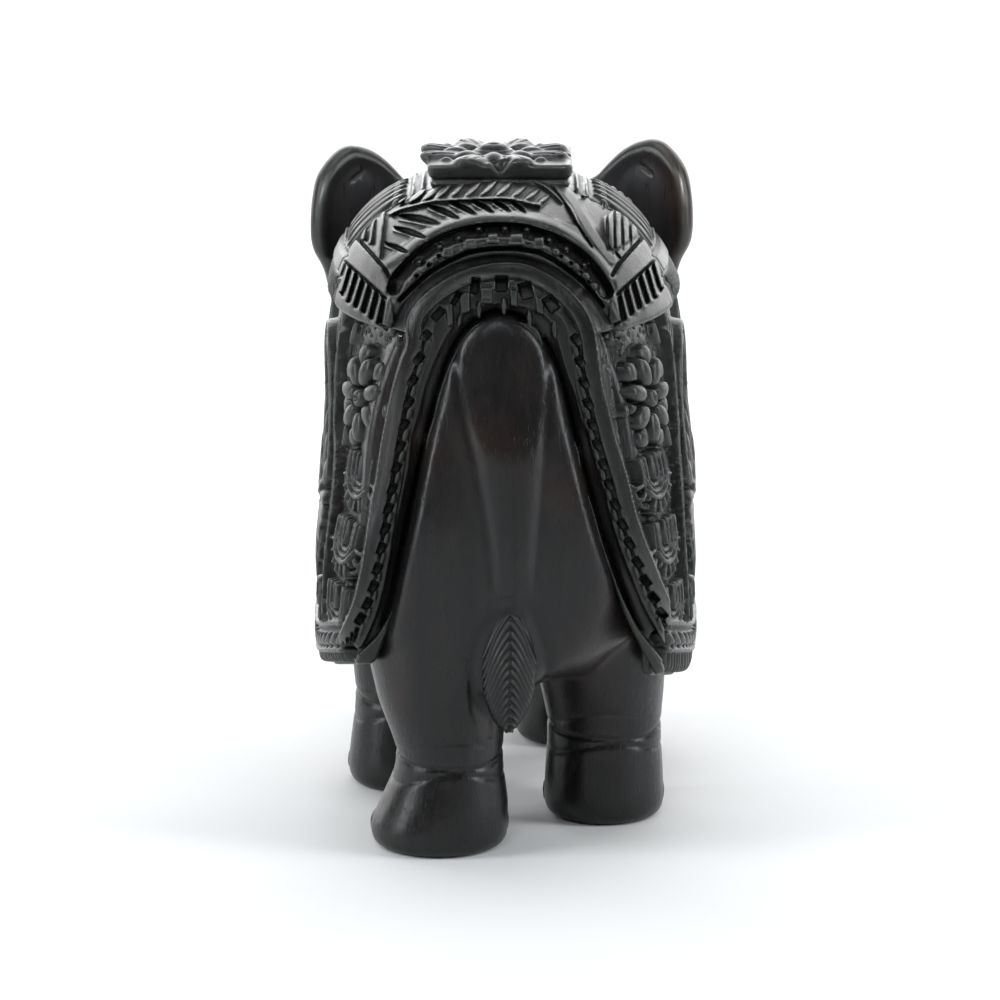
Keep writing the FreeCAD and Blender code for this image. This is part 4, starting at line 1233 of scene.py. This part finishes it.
def draw_ear(R):
    L = R.line
    for k, (u1, z1, u0, z0) in enumerate(((22.4, 108, 6, 98), (21, 102, 6, 93), (19.4, 95, 6, 88), (18.6, 88, 6, 83), (17.2, 81, 5.6, 78), (15, 73, 5.2, 73), (20.5, 114, 7, 104), (15.5, 118, 8, 110))):
        L([(u0, z0), ((u0 + u1) / 2, (z0 + z1) / 2 + 1.2), (u1, z1)], 1.1, -0.38, mode="min", w2=0.7)
    L([(6, 109), (10, 113), (15, 114.5), (19.5, 112.5), (21.3, 107), (20.4, 100), (18, 93), (16.5, 85), (14.5, 76), (11, 69), (7, 66)], 1.3, -0.45, mode="min")


def ear_detail(side, dz):
    def det(x, y, z, F):
        u, w = ear_local(x, y, side)
        zz = z - dz
        w = w - ear_cup(u, zz)
        F = F - EAR_MAP.at(u, zz) * sstep(5.0, 7.0, u) * (w < -0.6)
        # short crease at the top of the ear's back
        a = np.hypot((u - 15.5) * 0.9, (zz - 115.6))
        back = w > 0.6
        g = np.exp(-(((zz - 114.6) + 0.55 * (u - 15.0)) / 0.34) ** 2 - ((u - 15.0) / 1.5) ** 4)
        F = F + 0.5 * g * back
        return F
    return det


def tusk_mesh(side, n=48, m=64):
    d = np.array((TUSK_DIR[0] * side, TUSK_DIR[1], TUSK_DIR[2]))
    d /= np.linalg.norm(d)
    root = np.array((TUSK_ROOT[0] * side, TUSK_ROOT[1], TUSK_ROOT[2]))
    ts = np.concatenate([[-0.25, -0.12], np.linspace(0, 1, n) ** 0.9])
    cen = np.array([root + d * (18.2 * t) + np.array((0, 0, 3.2)) * max(t, 0) ** 2 for t in ts])
    rad = np.array([2.15 if t < 0 else 2.72 * (1 - t) ** 0.72 * 0.9 + 0.16 for t in ts])
    rad[2] = 2.55
    tan = np.gradient(cen, axis=0)
    tan /= np.linalg.norm(tan, axis=1)[:, None]
    V, Fc = [], []
    up = np.array((0, 0, 1.0))
    for c, r, t in zip(cen, rad, tan):
        a = np.cross(t, up)
        a /= np.linalg.norm(a)
        b = np.cross(t, a)
        for k in range(m):
            q = 2 * math.pi * k / m
            rr = r * (1 + 0.012 * math.sin(5 * q + 1.3))
            V.append(c + a * rr * math.cos(q) + b * rr * math.sin(q))
    N = len(cen)
    for i in range(N - 1):
        for k in range(m):
            Fc.append((i * m + k, i * m + (k + 1) % m, (i + 1) * m + (k + 1) % m, (i + 1) * m + k))
    V.append(cen[0] - tan[0] * 0.4)
    V.append(cen[-1] + tan[-1] * 0.1)
    for k in range(m):
        Fc.append((len(V) - 2, (k + 1) % m, k))
        Fc.append((len(V) - 1, (N - 1) * m + k, (N - 1) * m + (k + 1) % m))
    return np.array(V, f4), Fc


# =====================================================================================================
# Draw all boards, then carve all pieces (in parallel: the arrays release the lock)
# =====================================================================================================
draw_rear(BOARD_R)
INSIDE.poly([tuple(p) for p in smooth_line(CREST_L[::-1], 4)] + [tuple(p) for p in smooth_line(CREST_R, 4)[1:]] + [(700, 650), (700, 700), (300, 700), (300, 650)], 1.0, 1.6)
BOARD_R.soften(1)
draw_side(SIDE_L, 0, 0, 5)
SIDE_R.H = SIDE_L.H.copy()
SIDE_L.soften(1)
SIDE_R.soften(1)
draw_chest(CHEST)
draw_hair(HAIR)
draw_face(FACE)
draw_ear(EAR_MAP)
draw_top(TOP)
log("boards drawn")

JOBS = {
    "hide": dict(box=((-36, -42, -1.2), (36, 64, 117)), h=0.46, base=hide_base, detail=hide_detail),
    "tail_tuft": dict(box=((-9.5, 51, 22), (6, 64.5, 51)), h=0.17, base=tuft_base, detail=tuft_detail),
    "head_and_trunk": dict(box=((-24, -64, 2), (24, -12, 118)), h=0.34, base=head_base, detail=head_detail),
    "left_ear": dict(box=((8, -44, 54), (40, -18, 124)), h=0.3, base=ear_base(1, 0.0), detail=ear_detail(1, 0.0)),
    "right_ear": dict(box=((-40, -44, 54), (-8, -18, 125)), h=0.3, base=ear_base(-1, 1.3), detail=ear_detail(-1, 1.3)),
    "blanket_left": dict(box=((-1, -33, 26), (38.5, 51, 114)), h=0.27, base=flank_base(1), detail=flank_detail(SIDE_L)),
    "blanket_right": dict(box=((-39.5, -33, 26), (1, 51, 114)), h=0.27, base=flank_base(-1), detail=flank_detail(SIDE_R)),
    "blanket_border": dict(box=((-35, 48, 26), (32, 60, 117)), h=0.23, base=rear_base, detail=rear_detail),
    "saddle_cloth_rear": dict(box=((-36, 20.5, 96), (36, 56, 124)), h=0.22, base=cloth_base("rear"), detail=cloth_detail),
    "saddle_cloth_front": dict(box=((-39, -28, 96), (39, 23.5, 124)), h=0.27, base=cloth_base("front"), detail=cloth_detail),
    "flower_plate": dict(box=((-16.5, -8.5, 116), (18.5, 25.5, 128)), h=0.17, base=flower_base, detail=flower_detail),
}


def run(name):
    j = JOBS[name]
    v, q = build(j["box"], j["h"], j["base"], j.get("detail"))
    v, q = drop_islands(v, q)
    return name, v, q


def uv_boxes(me, verts, loops_v, face_n, face_of_loop):
    """Six flat projections, one for each way that a face looks, side by side in the unit square."""
    k = np.argmax(np.abs(face_n), 1)
    sgn = (face_n[np.arange(len(face_n)), k] > 0).astype(int)
    g = k * 2 + sgn
    lo, hi = verts.min(0), verts.max(0)
    axes = {0: (1, 2), 1: (0, 2), 2: (0, 1)}
    size = [(hi[axes[q // 2][0]] - lo[axes[q // 2][0]], hi[axes[q // 2][1]] - lo[axes[q // 2][1]]) for q in range(6)]
    best = None
    for cols in (1, 2, 3, 6):
        rows = 6 // cols
        order = [[r * cols + c for c in range(cols)] for r in range(rows)]
        w = max(sum(size[i][0] for i in o) for o in order)
        h = sum(max(size[i][1] for i in o) for o in order)
        s = 1.0 / max(w, h)
        if best is None or s > best[0]:
            best = (s * 0.97, order)
    s, order = best
    uv = np.zeros((len(loops_v), 2), f4)
    y = 0.008
    gl = g[face_of_loop]
    for o in order:
        x = 0.008
        for i in o:
            a, b = axes[i // 2]
            m = gl == i
            uv[m, 0] = x + (verts[loops_v[m], a] - lo[a]) * s
            uv[m, 1] = y + (verts[loops_v[m], b] - lo[b]) * s
            x += size[i][0] * s + 0.004
        y += max(size[i][1] for i in o) * s + 0.004
    layer = me.uv_layers.new(name="OFBake")
    layer.data.foreach_set("uv", np.clip(uv, 0, 1).ravel())


def relief_marks(me):
    """Edge wear and painted shade in hollows: how proud or sunken each vertex is against its surroundings, kept as an
    attribute for the material.
    """
    n = len(me.vertices)
    co = np.empty(n * 3, f4)
    me.vertices.foreach_get("co", co)
    co = co.reshape(-1, 3)
    no = np.empty(n * 3, f4)
    me.vertices.foreach_get("normal", no)
    no = no.reshape(-1, 3)
    e = np.empty(len(me.edges) * 2, np.int32)
    me.edges.foreach_get("vertices", e)
    e = e.reshape(-1, 2)
    d = co[e[:, 1]] - co[e[:, 0]]
    L = np.linalg.norm(d, axis=1) + 1e-9
    s0 = -(d * no[e[:, 0]]).sum(1) / L
    s1 = (d * no[e[:, 1]]).sum(1) / L
    acc = np.bincount(e[:, 0], s0, n) + np.bincount(e[:, 1], s1, n)
    cnt = np.bincount(e.ravel(), minlength=n) + 1e-9
    c = acc / cnt
    def blur(c, k):
        for _ in range(k):
            a = np.bincount(e[:, 0], c[e[:, 1]], n) + np.bincount(e[:, 1], c[e[:, 0]], n)
            c = 0.5 * c + 0.5 * a / cnt
        return c
    fine = blur(c, 2)
    wide = blur(c, 14)
    v = np.clip(0.5 + 2.2 * fine + 2.4 * wide, 0, 1).astype(f4)
    if me.name.startswith("hide"):          # painted shade under the blanket's arch: the lighter worn-edge colour is mostly taken away there
        mm = co * (1000.0 if np.abs(co).max() < 1 else 1.0)
        m = sstep(44.0, 49.0, mm[:, 1]) * sstep(34.0, 42.0, mm[:, 2])
        v = np.where(v > 0.5, 0.5 + (v - 0.5) * (1 - 0.92 * m), v).astype(f4)
    a = me.attributes.new("carve", "FLOAT", "POINT")
    a.data.foreach_set("value", v)


def to_mesh(name, v, q, limit=192000):
    me = bpy.data.meshes.new(name)
    me.vertices.add(len(v))
    me.vertices.foreach_set("co", (v * 0.001).astype(f4).ravel())
    me.loops.add(q.size)
    me.loops.foreach_set("vertex_index", q.astype(np.int32).ravel())
    me.polygons.add(len(q))
    me.polygons.foreach_set("loop_start", np.arange(0, q.size, 4, dtype=np.int32))
    me.polygons.foreach_set("loop_total", np.full(len(q), 4, np.int32))
    me.update(calc_edges=True)
    ob = bpy.data.objects.new(name, me)
    bpy.context.scene.collection.objects.link(ob)
    tris = 2 * len(q)
    if tris > limit:
        md = ob.modifiers.new("thin", "DECIMATE")
        md.decimate_type = "COLLAPSE"
        md.ratio = limit / tris
        md.use_collapse_triangulate = True
        dg = bpy.context.evaluated_depsgraph_get()
        new = bpy.data.meshes.new_from_object(ob.evaluated_get(dg))
        ob.modifiers.clear()
        ob.data = new
        bpy.data.meshes.remove(me)
        me = new
        me.name = name
    me.shade_smooth()
    return ob


def finish_mesh(ob):
    me = ob.data
    n = len(me.vertices)
    co = np.empty(n * 3, f4)
    me.vertices.foreach_get("co", co)
    co = co.reshape(-1, 3)
    nl = len(me.loops)
    lv = np.empty(nl, np.int32)
    me.loops.foreach_get("vertex_index", lv)
    fn = np.empty(len(me.polygons) * 3, f4)
    me.polygons.foreach_get("normal", fn)
    tot = np.empty(len(me.polygons), np.int32)
    me.polygons.foreach_get("loop_total", tot)
    fol = np.repeat(np.arange(len(tot)), tot)
    uv_boxes(me, co, lv, fn.reshape(-1, 3), fol)
    relief_marks(me)


# =====================================================================================================
# Materials
# =====================================================================================================
def ebony():
    m = bpy.data.materials.new("ebony_polished")
    m.use_nodes = True
    nt = m.node_tree
    N, Lk = nt.nodes, nt.links
    N.clear()
    out = N.new("ShaderNodeOutputMaterial")
    p = N.new("ShaderNodeBsdfPrincipled")
    Lk.new(p.outputs[0], out.inputs[0])
    tc = N.new("ShaderNodeTexCoord")

    def mapping(sc, rot=(0, 0, 0)):
        a = N.new("ShaderNodeMapping")
        a.inputs["Scale"].default_value = sc
        a.inputs["Rotation"].default_value = rot
        Lk.new(tc.outputs["Object"], a.inputs["Vector"])
        return a.outputs[0]

    def noise(vec, scale, detail=4.0, rough=0.55, dist=0.0):
        a = N.new("ShaderNodeTexNoise")
        a.inputs["Scale"].default_value = scale
        a.inputs["Detail"].default_value = detail
        a.inputs["Roughness"].default_value = rough
        a.inputs["Distortion"].default_value = dist
        Lk.new(vec, a.inputs["Vector"])
        return a.outputs["Fac"]

    def ramp(fac, stops):
        a = N.new("ShaderNodeValToRGB")
        e = a.color_ramp.elements
        e[0].position, e[0].color = stops[0][0], stops[0][1]
        e[1].position, e[1].color = stops[-1][0], stops[-1][1]
        for pos, col in stops[1:-1]:
            x = e.new(pos)
            x.color = col
        Lk.new(fac, a.inputs[0])
        return a.outputs[0]

    def g(v):
        return (v, v, v, 1)

    def math_(op, a, b=None, c=None):
        n = N.new("ShaderNodeMath")
        n.operation = op
        for i, x in enumerate((a, b, c)):
            if x is None:
                continue
            if isinstance(x, (int, float)):
                n.inputs[i].default_value = x
            else:
                Lk.new(x, n.inputs[i])
        return n.outputs[0]

    def mix(fac, a, b, mode="MIX"):
        n = N.new("ShaderNodeMix")
        n.data_type = "RGBA"
        n.blend_type = mode
        for sock, x in ((n.inputs[0], fac), (n.inputs[6], a), (n.inputs[7], b)):
            if isinstance(x, (int, float)):
                sock.default_value = x
            elif isinstance(x, tuple):
                sock.default_value = x
            else:
                Lk.new(x, sock)
        return n.outputs[2]

    carve = N.new("ShaderNodeAttribute")
    carve.attribute_name = "carve"
    cv = carve.outputs["Fac"]
    # heartwood streaks run up the block, with brown patches
    grain = noise(mapping((150, 150, 16)), 1.0, 6, 0.6, 0.4)
    patch = noise(mapping((38, 38, 22)), 1.0, 3, 0.5, 0.6)
    pores = noise(mapping((2600, 2600, 330)), 1.0, 2, 0.5)
    fine = noise(mapping((900, 900, 140)), 1.0, 5, 0.65)
    col = ramp(grain, [(0.30, (0.0040, 0.0039, 0.0042, 1)), (0.52, (0.0070, 0.0067, 0.0072, 1)), (0.70, (0.0115, 0.0106, 0.0108, 1))])
    brown = ramp(patch, [(0.54, g(0.0)), (0.74, g(0.75))])
    col = mix(brown, col, (0.026, 0.015, 0.011, 1))
    # pores: short dark ticks
    pm = ramp(pores, [(0.60, g(0.0)), (0.70, g(1.0))])
    col = mix(math_("MULTIPLY", pm, 0.65), col, (0.005, 0.0045, 0.005, 1))
    # worn, hand-polished edges are lighter; hollows are duller, and their darker base colour is painted shade in the
    # recesses
    wear_n = noise(mapping((420, 420, 300)), 1.0, 4, 0.6)
    wear = ramp(cv, [(0.60, g(0.0)), (0.86, g(1.0))])
    wear = math_("MULTIPLY", wear, ramp(wear_n, [(0.32, g(0.25)), (0.66, g(1.0))]))
    col = mix(math_("MULTIPLY", wear, 0.62), col, (0.047, 0.057, 0.047, 1))
    hollow = ramp(cv, [(0.14, g(1.0)), (0.42, g(0.0))])
    # painted shade: sunken places get a darker base colour
    col = mix(math_("MULTIPLY", hollow, 0.7), col, (0.006, 0.0055, 0.006, 1))
    Lk.new(col, p.inputs["Base Color"])
    r = ramp(fine, [(0.25, g(0.24)), (0.75, g(0.40))])
    r = mix(math_("MULTIPLY", hollow, 0.8), r, g(0.62))
    r = mix(math_("MULTIPLY", wear, 0.5), r, g(0.26))
    Lk.new(r, p.inputs["Roughness"])
    p.inputs["IOR"].default_value = 1.5
    p.inputs["Specular IOR Level"].default_value = 0.33
    p.inputs["Coat Weight"].default_value = 0.06
    p.inputs["Coat Roughness"].default_value = 0.28
    b1 = N.new("ShaderNodeBump")
    b1.inputs["Strength"].default_value = 0.35
    b1.inputs["Distance"].default_value = 0.00012
    hsum = math_("ADD", math_("MULTIPLY", fine, 0.6), math_("MULTIPLY", pm, -0.8))
    Lk.new(hsum, b1.inputs["Height"])
    tool = noise(mapping((300, 300, 210)), 1.0, 2, 0.5)
    b2 = N.new("ShaderNodeBump")
    b2.inputs["Strength"].default_value = 0.30
    b2.inputs["Distance"].default_value = 0.0004
    Lk.new(tool, b2.inputs["Height"])
    Lk.new(b2.outputs[0], b1.inputs["Normal"])
    Lk.new(b1.outputs[0], p.inputs["Normal"])
    return m


def boxwood():
    m = bpy.data.materials.new("boxwood_polished")
    m.use_nodes = True
    nt = m.node_tree
    N, Lk = nt.nodes, nt.links
    p = N["Principled BSDF"]
    tc = N.new("ShaderNodeTexCoord")
    mp = N.new("ShaderNodeMapping")
    mp.inputs["Scale"].default_value = (700, 60, 700)
    Lk.new(tc.outputs["Object"], mp.inputs[0])
    n = N.new("ShaderNodeTexNoise")
    n.inputs["Detail"].default_value = 5
    Lk.new(mp.outputs[0], n.inputs["Vector"])
    n.inputs["Scale"].default_value = 1.0
    r = N.new("ShaderNodeValToRGB")
    r.color_ramp.elements[0].position, r.color_ramp.elements[0].color = 0.3, (0.58, 0.44, 0.25, 1)
    r.color_ramp.elements[1].position, r.color_ramp.elements[1].color = 0.7, (0.80, 0.69, 0.48, 1)
    Lk.new(n.outputs["Fac"], r.inputs[0])
    Lk.new(r.outputs[0], p.inputs["Base Color"])
    p.inputs["Roughness"].default_value = 0.34
    b = N.new("ShaderNodeBump")
    b.inputs["Strength"].default_value = 0.2
    b.inputs["Distance"].default_value = 0.0001
    Lk.new(n.outputs["Fac"], b.inputs["Height"])
    Lk.new(b.outputs[0], p.inputs["Normal"])
    return m


EBONY, BOXWOOD = ebony(), boxwood()

with ThreadPoolExecutor(3) as ex:
    done = {}
    for name, v, q in ex.map(run, JOBS):
        done[name] = (v, q)
        log(name, len(v), "verts", len(q), "quads")

for name, (v, q) in done.items():
    ob = to_mesh(name, v, q)
    finish_mesh(ob)
    ob.data.materials.clear()
    ob.data.materials.append(EBONY)
    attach(ob, "root")
    if name == "hide":
        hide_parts("carved_body")
    log(name, "->", len(ob.data.polygons), "faces", [round(c * 1000, 2) for c in ob.dimensions])

for side, node in ((1, "left_tusk"), (-1, "right_tusk")):
    v, fc = tusk_mesh(side)
    me = bpy.data.meshes.new(node + "_horn")
    me.from_pydata((v * 0.001).tolist(), [], [tuple(int(i) for i in f) for f in fc])
    me.update()
    me.shade_smooth()
    ob = bpy.data.objects.new(node + "_horn", me)
    bpy.context.scene.collection.objects.link(ob)
    bpy.context.view_layer.update()
    import bmesh
    bm = bmesh.new()
    bm.from_mesh(me)
    bmesh.ops.recalc_face_normals(bm, faces=bm.faces)
    bm.to_mesh(me)
    bm.free()
    me.materials.append(BOXWOOD)
    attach(ob, "root")
    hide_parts(node)

# =====================================================================================================
# Stage, light, camera
# =====================================================================================================
fm = bpy.data.materials.new("paper")
fm.use_nodes = True
fb = fm.node_tree.nodes["Principled BSDF"]
fb.inputs["Base Color"].default_value = (0.90, 0.90, 0.90, 1)
fb.inputs["Roughness"].default_value = 0.9
me = bpy.data.meshes.new("floor")
S = 6.0
me.from_pydata([(-S, -S, 0), (S, -S, 0), (S, S, 0), (-S, S, 0)], [], [(0, 1, 2, 3)])
floor = bpy.data.objects.new("floor", me)
bpy.context.scene.collection.objects.link(floor)
me.materials.append(fm)

world = bpy.data.worlds.new("studio")
bpy.context.scene.world = world
world.use_nodes = True
bg = world.node_tree.nodes["Background"]
bg.inputs[0].default_value = (1.0, 1.0, 1.0, 1)
bg.inputs[1].default_value = 0.10

# a white paper backdrop that curves up behind the elephant
bm_ = bpy.data.materials.new("backdrop")
bm_.use_nodes = True
bb = bm_.node_tree.nodes["Principled BSDF"]
bb.inputs["Base Color"].default_value = (0.9, 0.9, 0.9, 1)
bb.inputs["Roughness"].default_value = 1.0
bb.inputs["Emission Color"].default_value = (1, 1, 1, 1)
bb.inputs["Emission Strength"].default_value = 1.8
vs, fs = [], []
for i in range(13):
    a = math.pi * (1.16 + 0.68 * i / 12)
    for z in (0.0005, 2.2):
        vs.append((1.9 * math.cos(a), 1.9 * math.sin(a), z))
for i in range(12):
    fs.append((2 * i, 2 * i + 2, 2 * i + 3, 2 * i + 1))
me = bpy.data.meshes.new("backdrop")
me.from_pydata(vs, [], fs)
backdrop = bpy.data.objects.new("backdrop", me)
bpy.context.scene.collection.objects.link(backdrop)
me.materials.append(bm_)


def area(name, loc, size, power, target=(0, 0, 0.065), color=(1, 1, 1)):
    l = bpy.data.lights.new(name, "AREA")
    l.shape = "RECTANGLE"
    l.size, l.size_y = size
    l.energy = power
    l.color = color
    o = bpy.data.objects.new(name, l)
    bpy.context.scene.collection.objects.link(o)
    o.location = loc
    d = Vector(target) - Vector(loc)
    o.rotation_euler = d.to_track_quat("-Z", "Y").to_euler()
    return o


area("left_box", (0.60, 0.20, 0.34), (0.22, 0.6), 3.0, color=(0.93, 0.97, 1.0))
area("right_box", (-0.60, 0.20, 0.34), (0.22, 0.6), 3.0, color=(0.93, 0.97, 1.0))
area("top_box", (0.0, -0.10, 0.85), (0.5, 0.4), 1.6, color=(0.93, 0.97, 1.0))
area("rear_fill", (0.10, 0.75, 0.80), (0.40, 0.25), 1.5, color=(0.93, 0.97, 1.0))
for s in (-1, 1):
    k = area("ear_light_%d" % (s > 0), (s * 0.24, 0.60, 0.46), (0.07, 0.07), 0.036, target=(s * 0.034, -0.03, 0.122), color=(0.95, 0.98, 1.0))
    k.data.spread = math.radians(7.0)
area("front_fill", (0.1, -0.8, 0.4), (0.5, 0.5), 1.2, color=(0.93, 0.97, 1.0))

cam = bpy.data.cameras.new("camera")
cam.sensor_width = 36.0
cam.lens = FOC / 1000.0 * 36.0
cam.clip_start, cam.clip_end = 0.01, 30.0
cam.dof.use_dof = False
co = bpy.data.objects.new("camera", cam)
bpy.context.scene.collection.objects.link(co)
co.location = (0.0, EYE_Y * 0.001, EYE_Z * 0.001)
look = Vector((0, -math.cos(TILT), -math.sin(TILT)))
co.rotation_euler = look.to_track_quat("-Z", "Y").to_euler()
bpy.context.scene.camera = co
bpy.context.scene.view_settings.view_transform = "Standard"

bpy.context.view_layer.update()
log("done")
